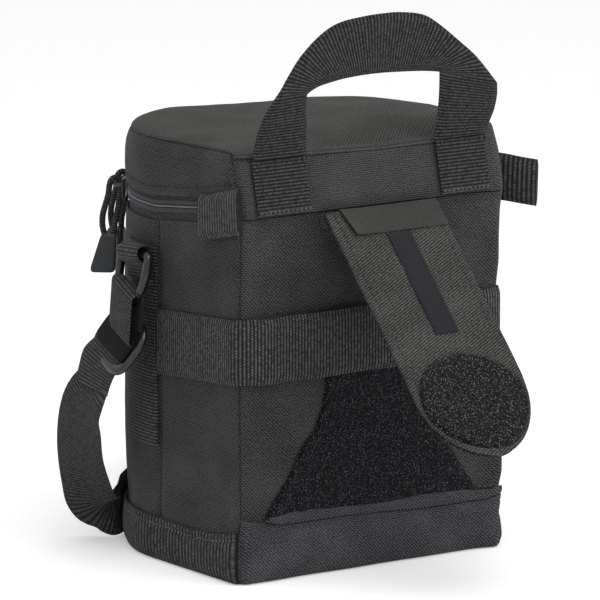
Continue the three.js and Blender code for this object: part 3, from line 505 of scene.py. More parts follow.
def back_fill(across, z):
    return corner_fill(across, back_seam - abs(across), z)


def back_out(across, z):
    """The back's face: nearly flat, creased a little where the loop panel's corner pulls."""
    out = puckers(across, 60, z, 30, 0.5) + puckers(across, 60, z, 8, 0.15)
    pull = math.exp(-((across - CREASE_AT[0]) / CREASE_REACH[0]) ** 2
                    - ((z - CREASE_AT[1]) / CREASE_REACH[1]) ** 2)
    out += pull * noise.noise(Vector((across / 9 + z / 14, 3, z / 22))) * 1.5
    return out + back_fill(across, z) - seam_dip(back_seam - abs(across), 0.7, 0.7)


cloth_slab("back_twill_panel", [[on_back(across, back_out(across, z), z) for across in back_columns]
                                for z in spaced(1.4, 145, 60)],
           WALL_THICK, body_twill, "body", ["back_panel"])

# The base: a twill disc under the padding, edged by a ribbed webbing band round the front and
# the sides and by a plain twill band across the back, all turned in and sewn round the bottom.
BASE_THICK = 1.2


def d_outline(out, back):
    """The wall's outline from above, as a closed ring of points."""
    reach, turn = HALF_WIDTH + out, max(CORNER + out, 1.5)
    straight = spaced(3, back - turn - 3, 8)
    arc = [(turn * math.cos(k / 10 * math.pi), turn * math.sin(k / 10 * math.pi)) for k in range(6)]
    points = [wall_spot(run, out) for run in spaced(-FRONT_RUN, FRONT_RUN, 40)]
    points += [(reach, y) for y in straight]
    points += [(reach - turn + a, back - turn + b) for a, b in arc]
    points += [(x, back) for x in spaced(reach - turn - 4, turn + 4 - reach, 14)]
    points += [(turn - reach - a, back - turn + b) for a, b in arc[::-1]]
    return points + [(-reach, y) for y in straight[::-1]]


def d_plate(name, out, back, low, thick, crown, finish, body, nodes, roll=0.5):
    """A plate over the whole outline, domed by its crown, with a rolled edge."""
    rim, middle = d_outline(out, back), (back - HALF_WIDTH) / 2
    shares = [0.06, 0.17, 0.3, 0.43, 0.55, 0.66, 0.76, 0.84, 0.9, 0.95, 0.975, 0.992, 1]
    rings, flats = [], []
    for share, rise, way in [(t, 0, 1) for t in shares] + [(t, thick, -1) for t in shares[::-1]]:
        rise += way * roll * min(1, thick) * 0.6 if share == 1 else 0
        flat = [(x * share, middle + (y - middle) * share) for x, y in rim]
        rings.append([Vector((x, y, low + crown(share, x, y) + rise)) for x, y in flat])
        flats += flat
    return loft(name, rings, flats, finish, body, nodes, crease=60)


def no_crown(share, x, y):
    return 0


base_twill = twill_cloth("coated_nylon_base_twill", "57575a", "171719")
band_webbing = webbing_cloth("ribbed_nylon_band_webbing", "545455", "121213", rib=2.2, yarn=1.5)
d_plate("base_twill_disc", -0.3, BACK_DEPTH - 0.3, 0.02, BASE_THICK, no_crown, base_twill,
        "body", ["base_panel"])
BAND_TOPS = [(-64, 17.6), (0, 17.6), (22, 17.1), (41, 17.7), (50, 19.2), (58, 21.2)]
BACK_BAND_TOPS = [(-63, 21.7), (-58, 20.7), (-54, 20), (-32, 20), (-20, 20.2), (-1, 21.4),
                  (17, 22), (36, 21.9), (46, 22.4), (49.5, 23.4), (51.5, 24), (56, 24.6),
                  (62.8, 26.2)]


def band_top(y):
    return share_at(BAND_TOPS, y)


def band_out(run, z):
    top = band_top(wall_spot(run, 0)[1])
    out = 1.5 + 0.7 * math.sin(math.pi * min(z / top, 1)) + puckers(run, 0, z, 16, 0.35)
    out += corner_fill(run, WALL_END - abs(run), z)
    out -= seam_dip(z - top + 2.9, 0.7, 0.5) + seam_dip(WALL_END - abs(run), 1.1, 1.5)
    return out - 1.1 * math.exp(-(z / 2.2) ** 2)


wall_columns = [-WALL_END + k * CORNER_SEAM / 5 for k in range(5)]
wall_columns += spaced(-FRONT_RUN - SIDE_RUN, FRONT_RUN + SIDE_RUN, 130)
wall_columns += [-run for run in wall_columns[4::-1]]
wall_cloth("base_webbing_band", wall_columns, lambda run, y: 0.05, lambda run, y: band_top(y), 22,
           band_out, BASE_THICK, band_webbing, "body", ["base_band"], along_wall=False)


def back_band_top(across):
    return share_at(BACK_BAND_TOPS, across)


def back_band_out(across, z):
    top = back_band_top(across)
    out = 1.5 + 0.9 * math.sin(math.pi * min(z / top, 1)) + puckers(across, 7, z, 22, 0.7)
    out += back_fill(across, z) - seam_dip(back_seam - abs(across), 1.1, 1.5)
    return out - 1.2 * math.exp(-(z / 2.4) ** 2) - 0.5 * max(0, z - top + 3) / 3


def back_strip(name, columns, low, high, rows, out, thick, finish, nodes):
    """A strip of cloth on the back between two edges that rise and fall."""
    grid = []
    for share in spaced(0, 1, rows):
        places = [(across, low(across) + (high(across) - low(across)) * share)
                  for across in columns]
        grid.append([on_back(across, out(across, z, share), z) for across, z in places])
    return cloth_slab(name, grid, thick, finish, "body", nodes)


back_strip("base_back_twill_band", back_columns, lambda across: 0.05, back_band_top, 18,
           lambda across, z, share: back_band_out(across, z), BASE_THICK, base_twill,
           ["back_base_band"])

# The pocket lip: a turned twill hem above the back band, flat and nearly flush with it, with a
# dark slit between the two. Its left end runs out to a point on the seam.
LIP_LEFT = 51.8
LIP_RIGHT = -61.3
LIP_TOPS = [(-63, 25.2), (-55.5, 24), (-43, 25.3), (-24, 25.8), (-6, 25), (13.5, 25.8), (36, 27),
            (49.1, 25.8), (52.1, 24.4)]


def lip_out(across, z, share):
    fold = 1 - abs(2 * share - 1) ** 3
    out = 1.9 + 0.5 * fold + puckers(across, 3, 0, 22, 0.3)
    out -= 0.9 * max(0, -across - 55) / 6
    return out + back_fill(across, z)


back_strip("pocket_lip_hem", spaced(LIP_RIGHT, LIP_LEFT, 90),
           lambda across: back_band_top(across) + 0.35,
           lambda across: share_at(LIP_TOPS, across), 9, lip_out, 1.0, base_twill, ["pocket_lip"])

# The loop panel: the soft half of the touch fastener, sewn flat on the back under the belt
# webbing. Its pile is a mat of fine dark loops, with painted highlights as single points of light.
LOOP_LOW = 21.6
LOOP_RISE = 71
LOOP_HALF = 52.5
LOOP_SHARES = [(0, 1), (0.08, 0.96), (0.26, 0.78), (0.43, 0.64), (0.52, 0.52), (0.65, 0.44),
               (0.8, 0.42), (1, 0.42)]


def pile_cloth(name, high, low, loop=0.6):
    """Nylon loop pile: dark and matt, with painted highlights: light specks where single loops face
    the light.
    """
    material, tree, shader = surface(name, 0.95, sheen=0.1, specular=0.1)
    place = add_node(tree, "ShaderNodeTexCoord").outputs["Object"]
    # Painted highlights: this noise lights single specks in the colour, and it also raises the
    # pile's relief.
    painted_glints_and_relief = add_node(tree, "ShaderNodeTexNoise", links={"Vector": place},
                      inputs={"Scale": 1 / (loop * MM), "Detail": 3, "Roughness": 0.7})
    tufts = add_node(tree, "ShaderNodeTexVoronoi", links={"Vector": place},
                     inputs={"Scale": 0.8 / (loop * MM)})
    height = add_node(tree, "ShaderNodeMath", operation="SUBTRACT",
                      links={0: painted_glints_and_relief.outputs["Fac"], 1: tufts.outputs["Distance"]}).outputs[0]
    colour_by(tree, shader, height, [(0.02, "0b0b0c"), (0.2, low), (0.42, high)], height, 0.8, 0.5)
    return material


loop_pile = pile_cloth("nylon_loop_pile", "64646e", "17171b")
grid = []
for row in spaced(0, 1, 60):
    half = LOOP_HALF * share_at(LOOP_SHARES, row)
    z = LOOP_LOW + LOOP_RISE * row
    line = []
    for across in spaced(-1, 1, 84):
        x = across * half
        if abs(across) > 0.99:
            x += puckers(x, 2, z, 1.3, 0.9)
        edge = 1 - min(1, (1 - abs(across)) * half / 1.6)
        y = BACK_DEPTH + 1.6 + puckers(x, 5, z, 1.7, 0.35) - 0.8 * edge ** 2
        y += max(0, back_out(x, z)) - 0.9 * max(0, 1 - (z - LOOP_LOW) / 5)
        line.append((Vector((x, y, z)), Vector((0, 1, 0)), (x, z)))
    grid.append(line)
cloth_slab("loop_pile_panel", grid, 1.2, loop_pile, "body", ["loop_panel"], 0)

# The belt webbing: one broad ribbed band, sewn into both side seams and passing round the back
# corners over the loop panel. The belt runs behind it.
BELT_LOW = 79.6
BELT_HEIGHT = 26.2
BELT_FALL = 4
belt_end = back_end + SIDE_RUN - SEAM_AT - 0.4
belt_edges = []
for across in spaced(-belt_end, belt_end, 150):
    y = back_spot(across, 0)[1]
    near = max(0, 1 - max(0, abs(across) - 52) / 11)
    off = 0.8 + 1.9 * near * near * (3 - 2 * near) + puckers(across, 11, 0, 26, 0.4)
    off += back_fill(across, 90)
    fall = BELT_FALL * (BACK_DEPTH - y) / BACK_DEPTH
    x, y = back_spot(across, off)
    wave = puckers(across, 1, 4, 18, 0.4)
    belt_edges.append((Vector((x, y, BELT_LOW - fall + wave)),
                       Vector((x, y, BELT_LOW + BELT_HEIGHT - fall + wave))))
belt_ribs = webbing_cloth("ribbed_nylon_belt_webbing", "5c5c5c", "101011", rib=1.48)
webbing_band("belt_webbing_band", belt_edges, 1.5, belt_ribs, "body", ["belt_webbing"],
             columns=10, soft=12)

# Stitches: bonded nylon thread in short even floats, a little lighter or darker than the cloth
# it holds. The bands' and the lip's rows come first, each other row with the piece it sews.
STITCH = 2.3
STITCH_GAP = 0.8
STITCH_WIDTH = 0.42


def mottled(name, dark, light, roughness, per_mm, kind="ShaderNodeTexNoise", relief=0.0,
            gloss=None, grain=None, **finish):
    """A plain finish, mottled by the grain that its making leaves, so many grains to the mm."""
    material, tree, shader = surface(name, roughness, **finish)
    place = add_node(tree, "ShaderNodeTexCoord").outputs["Object"]
    shade = add_node(tree, kind, inputs={"Scale": per_mm / MM, **(grain or {})},
                     links={"Vector": place}).outputs[0]
    colour_by(tree, shader, shade, [(0, dark), (1, light)], shade if relief else None, relief, 0.2)
    if gloss:
        rough = add_node(tree, "ShaderNodeMapRange", links={"Value": shade},
                         inputs={"To Min": gloss[0], "To Max": gloss[1]})
        tree.links.new(rough.outputs["Result"], shader.inputs["Roughness"])
    return material


def sewing_thread(name, dark, light):
    """Twisted thread, mottled where its plies turn."""
    return mottled(name, dark, light, 0.6, 1.5, sheen=0.1)


light_thread = sewing_thread("bonded_nylon_light_thread", "4a4a4c", "7c7c7f")
dark_thread = sewing_thread("bonded_nylon_dark_thread", "2c2c2e", "4c4c4e")


def stitch_row(name, line, outward, body, stitch=STITCH, gap=STITCH_GAP, width=STITCH_WIDTH,
               slot="twill", thread=dark_thread, upright=False):
    """Thread floats along a line of points, each with the direction that faces outward."""
    corners, faces = [], []
    travelled, start = 0, 0
    places = []
    for k, (a, b) in enumerate(zip(line, line[1:])):
        length = (b - a).length
        while start <= travelled + length:
            t = (start - travelled) / length if length else 0
            places.append((a.lerp(b, t), (b - a).normalized(), outward[k]))
            start += stitch + gap
        travelled += length
    for middle, along, up in places:
        if upright:
            along = up.cross(along).normalized()
        across = along.cross(up).normalized() * width / 2
        first = len(corners)
        reach = along * stitch / 2
        corners += [middle - reach - up * 0.1, middle + reach - up * 0.1]
        for turn in (across, up * width * 0.6, -across, -up * width * 0.6):
            corners += [middle + turn - reach * 0.4, middle + turn + reach * 0.4]
        for k in range(4):
            a, b = first + 2 + 2 * k, first + 2 + 2 * ((k + 1) % 4)
            faces += [(first, a, b), (a, a + 1, b + 1, b), (first + 1, b + 1, a + 1)]
    weave = [(corner.x, corner.z) for corner in corners]
    return make_piece(name, corners, faces, weave, thread, body, crease=80)


def wall_stitches(name, runs, height, out, body, **thread_settings):
    heights = [height(wall_spot(run, 0)[1]) for run in runs]
    places = [on_wall(run, out(run, z), z) for run, z in zip(runs, heights)]
    stitch_row(name, [point for point, outward, flat in places],
               [outward for point, outward, flat in places], body, **thread_settings)


wall_stitches("base_band_stitches", spaced(-WALL_END + 2, WALL_END - 2, 200),
              lambda y: band_top(y) - 2.7 + puckers(y, 0, 0, 2, 0.6),
              lambda run, z: band_out(run, z) + 0.15, "body", stitch=1.0, gap=1.1, width=0.5,
              thread=light_thread)
line = [Vector((x, BACK_DEPTH + 0.2 + back_out(x, share_at(LIP_TOPS, x) + 1.3),
                share_at(LIP_TOPS, x) + 1.3)) for x in spaced(-58, 46, 90)]
stitch_row("pocket_lip_stitches", line, [Vector((0, 1, 0))] * 90, "body", thread=light_thread,
           stitch=1.8, width=0.35)

# The side webbing: a vertical ribbed strip under each ring, folded over the ring's bar and
# sewn down on itself below it.
STRIP_LOW = 46
STRIP_TOP = 127
STRIP_WIDE = 23
RING_ANGLE = math.radians(9)
RING_REACH = 68.9
RING_HEIGHT = 123.5
FOLD_RADIUS = 3.1

strip_ribs = webbing_cloth("ribbed_nylon_side_webbing", "565657", "171718")
for side, name in SIDES:
    edge = side * (WALL_SEAM - STRIP_WIDE)
    runs = sorted([edge, side * (WALL_SEAM - 0.6)])
    wall_cloth(f"side_webbing_strip_{name}", spaced(*runs, 14), lambda run, y: STRIP_LOW,
               lambda run, y: STRIP_TOP, 40, lambda run, z: 1.4 + min(0, wall_out(run, z) * 0.5),
               1.2, strip_ribs, "body", [f"side_strip_{name}"])


def ring_spot(side, out, along, height):
    """A place beside a ring: out from the pouch, along the ring's bar, and up."""
    c, s = math.cos(RING_ANGLE), math.sin(RING_ANGLE)
    return Vector((side * (out * c + along * s), along * c - out * s, height))


for side, name in SIDES:
    fold = [(65.2, 110), (65.3, 114), (65.6, 118.5)]
    fold += [(RING_REACH + FOLD_RADIUS * math.cos(turn), RING_HEIGHT + FOLD_RADIUS * math.sin(turn))
             for turn in [math.pi * (1 - k / 8) for k in range(9)]]
    fold += [(71.4, 122), (70, 120.2), (68.2, 119), (67.2, 117.8), (66.8, 115.6), (66.7, 113)]
    fold = smooth_line([Vector((a, 0, b)) for a, b in fold], 3)
    edges = [(ring_spot(side, p.x, -5, p.z - 0.5), ring_spot(side, p.x, 15, p.z + 1.5))
             for p in fold]
    webbing_band(f"ring_fold_{name}", edges, 1.4, strip_ribs, "body", [f"ring_holder_{name}"])
    line = [ring_spot(side, 68, along, 115.6 + along * 0.1) for along in spaced(-4, 14, 20)]
    outward = [ring_spot(side, 1, 0, 0).normalized()] * 20
    stitch_row(f"ring_fold_stitches_{name}", line, outward, "body", stitch=1.6, gap=0.5)

# The zip: two knitted tapes with a moulded nylon coil on each, whose teeth lock in one line.
# The lower half is sewn inside the body's edge, the upper half inside the lid's.
ZIP_LINE = 142.8
TAPE_OUT = -1.1
TOOTH_PITCH = 0.95
TOOTH_WIDE = 0.5
TOOTH_TALL = 1.75
zip_run = FRONT_RUN + ZIP_END

tape_cloth = webbing_cloth("knitted_polyester_zip_tape", "4a4a50", "222226", rib=0.9, yarn=0.9)
for name, low, high, body in (("lower", 133.8, 142.4, "body"), ("upper", 143.2, 150.2, "lid")):
    wall_cloth(f"zip_tape_{name}", spaced(-zip_run, zip_run, 120),
               lambda run, y, low=low: low + zip_rise(y),
               lambda run, y, high=high: high + zip_rise(y),
               6, lambda run, z: TAPE_OUT, 0.8, tape_cloth, body, [f"{name}_zip_tape"])

coil_nylon = sewing_thread("moulded_nylon_zip_coil", "2e2e31", "58585c")
# Painted highlight: a thin light strip along the line where the teeth meet, standing for the shine
# on the coil.
coil_painted_highlight = sewing_thread("coil_painted_highlight_strip", "5c5c60", "8e8e92")
for name, way, body in (("lower", -1, "body"), ("upper", 1, "lid")):
    corners, faces, weave = [], [], []
    for k in range(int(2 * zip_run / TOOTH_PITCH)):
        run = -zip_run + (k + (0.5 if way > 0 else 1)) * TOOTH_PITCH
        lift = ZIP_LINE + way * (0.75 + TOOTH_TALL / 2) + zip_rise(wall_spot(run, 0)[1])
        first = len(corners)
        for out, grow in ((-1.2, 1), (-0.85, 1), (-0.55, 0.5)):
            for step, rise in ((-1, -1), (1, -1), (1, 1), (-1, 1)):
                place = wall_place(run + (step * grow * TOOTH_WIDE + rise * 0.25) / 2, out,
                                   lift + rise * grow ** 0.4 * TOOTH_TALL / 2)
                corners.append(place)
                weave.append((run, lift))
        for ring in (0, 4):
            for j in range(4):
                a, b = first + ring + j, first + ring + (j + 1) % 4
                faces.append((a, b, b + 4, a + 4))
        faces.append(tuple(first + j for j in (3, 2, 1, 0)))
        faces.append(tuple(first + 8 + j for j in range(4)))
    make_piece(f"zip_teeth_{name}", corners, faces, weave, coil_nylon, body,
               [f"{name}_zip_coil"], crease=35)
    # The painted highlight strip, set just proud of the teeth on each side of the meeting line.
    wall_cloth(f"zip_coil_painted_highlight_{name}", spaced(-zip_run, zip_run, 548),
               lambda run, y, way=way: ZIP_LINE + zip_rise(y) + (0.04 if way > 0 else -0.3),
               lambda run, y, way=way: ZIP_LINE + zip_rise(y) + (0.3 if way > 0 else -0.04), 3,
               lambda run, z: -0.45 - 0.5 * (round(run / TOOTH_PITCH * 2) % 2), 0.5, coil_painted_highlight,
               body, (), soften=0)

# The lid: a wall of the body's twill with a turned hem above the zip, running unbroken to the
# back corners, and a softly domed twill top, a shade warmer, sewn into its upper edge.
LID_EDGE = 147
LID_BACK = 53.4
LID_CROWN = 3.8
HEM = 3.7
SIDE_RISE = [(-154, 3.3), (-115, 3.9), (-97, 2.9), (-71, 1.7), (-48, 0.2), (-29, -1.9), (-14, -2.6),
             (3, -2.2), (22, -0.6), (40, -0.3), (66, -0.4), (99, 0.2), (123, 1), (141, 1.6),
             (160, 1.6)]
BACK_RISE = [(-63, 3), (-57, 2.2), (-50, 0), (-34, -1.8), (-7, -2), (27, -0.7), (50, 0.2),
             (64, 1.4)]
LID_SAG = [(-60, 0.6), (-52, 0.7), (-45, 0), (-33, -1.1), (-20, -1.8), (-6, -1.5), (12, -0.4),
           (22, 0), (36, 0.8), (46, 0.5), (60, 0)]


def rim_rise(x, y):
    """How much the lid's upper edge rises or droops from place to place."""
    if y > LID_BACK - CORNER - 1:
        return share_at(BACK_RISE, x)
    run = HALF_WIDTH * math.atan2(x, -y) if y < 0 else math.copysign(FRONT_RUN + y, x)
    return share_at(SIDE_RISE, run)


def hem_height(y):
    return LID_EDGE + HEM + zip_rise(y) + 0.16 * max(0, y - ZIP_END)


def lid_high(run, y):
    return LID_RIM + rim_rise(*wall_spot(run, 0)) if y < 50 else LID_RIM + share_at(SIDE_RISE, run)


def lid_out(run, z):
    x, y = wall_spot(run, 0)
    low, high = LID_EDGE + zip_rise(y), lid_high(run, y)
    out = 0.35 * math.sin(math.pi * (z - low) / (high - low))
    out += puckers(run, 2, z, 24, 0.5) + puckers(run, 2, z, 8, 0.15)
    out += corner_fill(run, WALL_END - abs(run), z)
    out -= 1.8 * max(0, (z - high + 9) / 9) ** 2 + seam_dip(WALL_END - abs(run), 1, 1.2)
    return out - seam_dip(z - hem_height(y), 0.55, 0.6) - seam_dip(high - z, 1, 0.4)


lid_wall = wall_cloth("lid_twill_wall", wall_columns, lambda run, y: LID_EDGE + zip_rise(y),
                      lid_high, 30, lid_out, WALL_THICK, body_twill, None, ["lid_wall"])
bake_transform(lid_wall)
lid_twill = twill_cloth("woven_nylon_lid_twill", "4c4c48", "181816")


def lid_crown(share, x, y):
    middle = (LID_BACK - HALF_WIDTH) / 2
    edge = rim_rise(x / share, middle + (y - middle) / share)
    fade = 1 - share ** 6
    rise = LID_CROWN * (1 - share ** 5.5) + share_at(LID_SAG, 0.577 * y - 0.815 * x) * fade
    return rise + puckers(x, y, 1, 22, 0.5) * fade + edge * share ** 3


d_plate("lid_twill_top", -1.9, LID_BACK - 0.6, LID_RIM - 0.1, 0.9, lid_crown, lid_twill, "lid",
        ["lid_top"], roll=1)
hem_thread = sewing_thread("bonded_nylon_hem_thread", "1e1e20", "363638")
wall_stitches("lid_hem_stitches", spaced(-FRONT_RUN - 30, FRONT_RUN + 30, 160),
              lambda y: hem_height(y) - 0.9, lambda run, z: lid_out(run, z) + 0.05, "lid",
              width=0.3, thread=hem_thread)
wall_stitches("body_hem_stitches", spaced(-FRONT_RUN - 28, FRONT_RUN + 28, 160),
              lambda y: BODY_TOP + zip_rise(y) - 1.9, lambda run, z: wall_out(run, z) + 0.05,
              "body", width=0.3, thread=hem_thread)

# The padding and the lining: grey nylon taffeta over closed-cell foam, seen when the lid is up.
# The foam's cut edge shows between the lining and the outer cloth.
FOAM_OUT = -1.3
LINING_OUT = -6.1
FLOOR = 6.7
FOAM_TOP = 133.2
LID_FOAM_TOP = 162.4

# Expanded closed-cell foam: matt and black, with the pits of its cut cells about 1 mm apart.
foam_cells = mottled("closed_cell_foam", "161617", "343437", 0.9, 0.9,
                     kind="ShaderNodeTexVoronoi", specular=0.2)
lining_cloth = twill_cloth("grey_nylon_taffeta_lining", "9a9da2", "6a6d73", pitch=0.5, weft=0.5,
                           sheen=0.2)


def d_sleeve(name, out, thick, low, high, rows, finish, nodes, dent=0.3):
    """A closed sleeve that follows the inside of the wall."""
    rim = d_outline(out, BACK_DEPTH + out)
    grid = []
    for z in spaced(low, high, rows):
        line, run = [], 0
        for k, (x, y) in enumerate(rim):
            before, after = rim[k - 1], rim[(k + 1) % len(rim)]
            outward = Vector((after[1] - before[1], before[0] - after[0], 0)).normalized()
            run += math.dist(before, (x, y)) if k else 0
            swell = puckers(x, y, z, 26, dent)
            line.append((Vector((x, y, z)) + outward * swell, outward, (run, z)))
        grid.append(line)
    return cloth_slab(name, grid, thick, finish, "body", nodes, closed=True)


d_sleeve("wall_foam", FOAM_OUT - 0.2, 4.2, FLOOR, FOAM_TOP, 16, foam_cells, ["body_foam"],
         dent=0.1)
d_sleeve("wall_lining", LINING_OUT - 0.2, 0.7, FLOOR + 1, FOAM_TOP, 24, lining_cloth,
         ["body_lining"])
d_plate("floor_foam", FOAM_OUT, BACK_DEPTH + FOAM_OUT, 1.5, 4.9, no_crown, foam_cells, "body",
        ["base_foam"])
d_plate("floor_lining", LINING_OUT, BACK_DEPTH + LINING_OUT, FLOOR, 0.8,
        lambda share, x, y: puckers(x, y, 3, 18, 0.3), lining_cloth, "body", ["lining_floor"])
d_plate("lid_top_foam", FOAM_OUT - 2.2, LID_BACK - 3.6, LID_RIM - 4.8, 3.5,
        lid_crown, foam_cells, "lid", ["lid_foam"])
d_plate("lid_top_lining", FOAM_OUT, LID_BACK - 1.6, LID_RIM - 6.1, 0.8,
        lambda share, x, y: min(0, lid_crown(share, x, y)) + puckers(x, y, 5, 20, 0.25),
        lining_cloth, "lid", ["lid_lining"])
inner_runs = spaced(-zip_run, zip_run, 90)
wall_cloth("lid_wall_padding", inner_runs, lambda run, y: LID_EDGE + 3.9 + zip_rise(y),
           lambda run, y: LID_FOAM_TOP, 8, lambda run, z: FOAM_OUT, 3, foam_cells, "lid",
           ["lid_wall_foam"])
wall_cloth("lid_wall_taffeta", inner_runs, lambda run, y: LID_EDGE + 0.2 + zip_rise(y),
           lambda run, y: LID_FOAM_TOP, 10, lambda run, z: -4.6 + puckers(run, 1, z, 14, 0.3), 0.8,
           lining_cloth, "lid", ["lid_wall_lining"])
grid = []
for z in spaced(134, 161.5, 10):
    y = BACK_DEPTH + FOAM_OUT - 0.3 - lean_in(z)
    grid.append([(Vector((x, y, z)), Vector((0, 1, 0)), (x, z)) for x in spaced(-56.5, 56.5, 30)])
cloth_slab("neck_padding", grid, 4.3, foam_cells, "body", ["neck_foam"])

# The back band: a stiffened twill yoke that leans in towards the lid. It carries the handle,
# and its top edge is sewn to the lid as the hinge.
YOKE_TOP = LID_RIM - 0.3


def yoke_out(across, z):
    out = 1.2 + puckers(across, 9, z, 20, 0.4) + back_fill(across, z)
    out += 0.8 * max(0, (-across - 54) / 8) ** 2
    out -= seam_dip(z - 145.6, 1.2, 0.5) + seam_dip(back_seam + 0.4 - abs(across), 2.2, 1.8)
    return out - seam_dip(z - LID_RIM - share_at(BACK_RISE, across), 1.3, 0.6)


yoke_twill = twill_cloth("woven_nylon_yoke_twill", "4a4a4a", "111111", weft=0.85, cross=0.24)
yoke_grid = []
for share in spaced(0, 1, 18):
    places = [(across, BAND_LOW + (YOKE_TOP + share_at(BACK_RISE, across) - BAND_LOW) * share)
              for across in back_columns]
    yoke_grid.append([on_back(across, yoke_out(across, z), z, lean_in(z, YOKE_TOP))
                      for across, z in places])
cloth_slab("back_twill_yoke", yoke_grid, 1.1, yoke_twill, "body", ["back_band"])
hinge_grid = []
for step, (y, z) in enumerate(((55.4, 168.2), (54.6, 169.5), (53.7, 170), (52.2, 170.35))):
    hinge_grid.append([(Vector((x, y - CORNER + math.sqrt(CORNER ** 2 - max(0, abs(x) - 59) ** 2),
                                z + share_at(BACK_RISE, x))), Vector((0, 0.5, 0.85)).normalized(),
                        (x, step)) for x in spaced(-61.8, 61.8, 62)])
hinge_fold = cloth_slab("lid_hinge_seam", hinge_grid, 0.6, yoke_twill, None, soften=0)
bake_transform(hinge_fold)

# The carrying handle: one length of 25 mm ribbed webbing, sewn flat on the yoke at both ends
# with a row of stitches and a bar tack, and turned on edge over the middle for the hand.
ANCHOR_MIDDLES = {1: 42.6, -1: -46}
HANDLE_WIDE = 25.4
HANDLE_THICK = 1.7
HANDLE_LEGS = {
    1: [(55.3, 57.4, 168.4, 29.9, 57.4, 168.4), (56, 59.4, 174, 31.2, 59.2, 174),
        (56.2, 62.6, 181, 33.3, 62.4, 181.4), (55.4, 65.8, 187.6, 35.8, 65.6, 188.4),
        (53, 68.4, 193.4, 37.2, 68.3, 194)],
    -1: [(57.4, 57.4, 168.4, 32, 57.4, 168.4), (57.8, 59.2, 172.6, 31.4, 59.4, 174.4),
         (58.2, 62, 178.2, 30, 62.6, 181.6), (56.9, 65.6, 184.6, 28.2, 65.8, 189.6),
         (54.7, 68.5, 190.1, 26.3, 68.5, 197)],
}
HANDLE_ARCH = [
    (53, 68.4, 193.4, 37.2, 68.3, 194), (50.4, 69.2, 197.2, 34.2, 67.5, 195.2),
    (46.4, 69.2, 202.8, 30, 66.8, 196.4), (40.5, 68.8, 209.5, 25, 66.4, 197.2),
    (31.5, 68.5, 216.6, 19, 66.2, 198), (22.4, 68.3, 220.7, 13.6, 66, 198.4),
    (10.4, 68, 222.2, 6.6, 66, 198.7), (0, 68, 222.6, 0, 66, 198.7),
    (-8.1, 68, 222.3, -5.4, 66, 198.5), (-18.3, 68.2, 220.5, -11.6, 66.2, 198.2),
    (-25.7, 68.4, 216.4, -16.8, 66.4, 197.9), (-36.1, 68.8, 208.3, -21, 66.8, 197.6),
    (-44.6, 69.2, 201, -24, 67.4, 197.3), (-54.7, 68.5, 190.1, -26.3, 68.5, 197),
]

handle_ribs = webbing_cloth("ribbed_nylon_handle_webbing", "4e4e4f", "0d0d0e", rib=1.38)
outer_line, inner_line = [], []
for rows in (HANDLE_LEGS[1], HANDLE_ARCH,
             [(-a, b, c, -d, e, f) for a, b, c, d, e, f in HANDLE_LEGS[-1][::-1]]):
    outer_line += smooth_line([Vector(row[:3]) for row in rows], 6)[:-1]
    inner_line += smooth_line([Vector(row[3:]) for row in rows], 6)[:-1]
outer_line.append(Vector((-57.4, 57.4, 168.4)))
inner_line.append(Vector((-32, 57.4, 168.4)))
webbing_band("handle_webbing", list(zip(outer_line, inner_line)), HANDLE_THICK, handle_ribs,
             "handle", ["carry_handle"], columns=10, soft=8)


def yoke_spot(x, up, out):
    """A place on the leaning yoke."""
    slope = math.hypot(YOKE_TOP - BAND_LOW, BAND_LEAN)
    rise, back = (YOKE_TOP - BAND_LOW) / slope, BAND_LEAN / slope
    return Vector((x, BACK_DEPTH + 1.2 - back * up + rise * out, BAND_LOW + rise * up + back * out))


yoke_out_way = yoke_spot(0, 0, 1) - yoke_spot(0, 0, 0)
for side, name in SIDES:
    middle = ANCHOR_MIDDLES[side]
    edges = [[yoke_spot(middle + half * HANDLE_WIDE / 2, up, 1.3) for half in (-1, 1)]
             for up in spaced(0.4, 23, 14)]
    webbing_band(f"handle_end_{name}", edges, 1.6, handle_ribs, "body", [f"handle_anchor_{name}"],
                 columns=10, soft=10)
    for place, up, half, settings in (
            ("low", 1.9, 11.6, {"stitch": 1.7, "width": 0.5, "thread": light_thread}),
            ("high", 21.2, 11.2, {"stitch": 2, "width": 0.7, "upright": True})):
        line = [yoke_spot(x, up, 2.1) for x in spaced(middle - half, middle + half, 24)]
        stitch_row(f"handle_tack_{place}_{name}", line, [yoke_out_way] * 24, "body", gap=0.4,
                   slot="webbing", **settings)

# The belt flap: a twill face and a pile back over a stiff plastic core, hung under the yoke and
# standing out from the back. A round pile patch ends it; a bare tag and strip lie on its face.
FLAP_ANGLE = math.radians(43)
FLAP_HALF = 26.8
FLAP_LONG = 117.5
FLAP_STRAIGHT = FLAP_LONG - FLAP_HALF
HEM_IN = 3.6
FLAP_MIDDLE = -1.1
FLAP_HINGE = (61.7, 144)
PATCH_ACROSS = 25.6
PATCH_DOWN = 21.8
PATCH_MIDDLE = (0, 93.4)


def flap_spot(across, down, out):
    if across < 0 and down > 85:
        across *= 1 - 0.17 * (down - 85) / 32
    s, c = math.sin(FLAP_ANGLE), math.cos(FLAP_ANGLE)
    return Vector((FLAP_MIDDLE + across, FLAP_HINGE[0] + down * s + out * c,
                   FLAP_HINGE[1] - down * c + out * s))


flap_out = flap_spot(0, 0, 1) - flap_spot(0, 0, 0)


def flap_rows():
    angles = [k / 20.6 * math.pi / 2 for k in range(1, 21)]
    return [(down, FLAP_HALF) for down in spaced(0.8, FLAP_STRAIGHT, 44)] + [
        (FLAP_STRAIGHT + FLAP_HALF * math.sin(a), FLAP_HALF * math.cos(a)) for a in angles]


def flap_edge(across, down):
    """How far a place on the flap is from its edge."""
    return FLAP_HALF - math.hypot(across, max(0, down - FLAP_STRAIGHT))


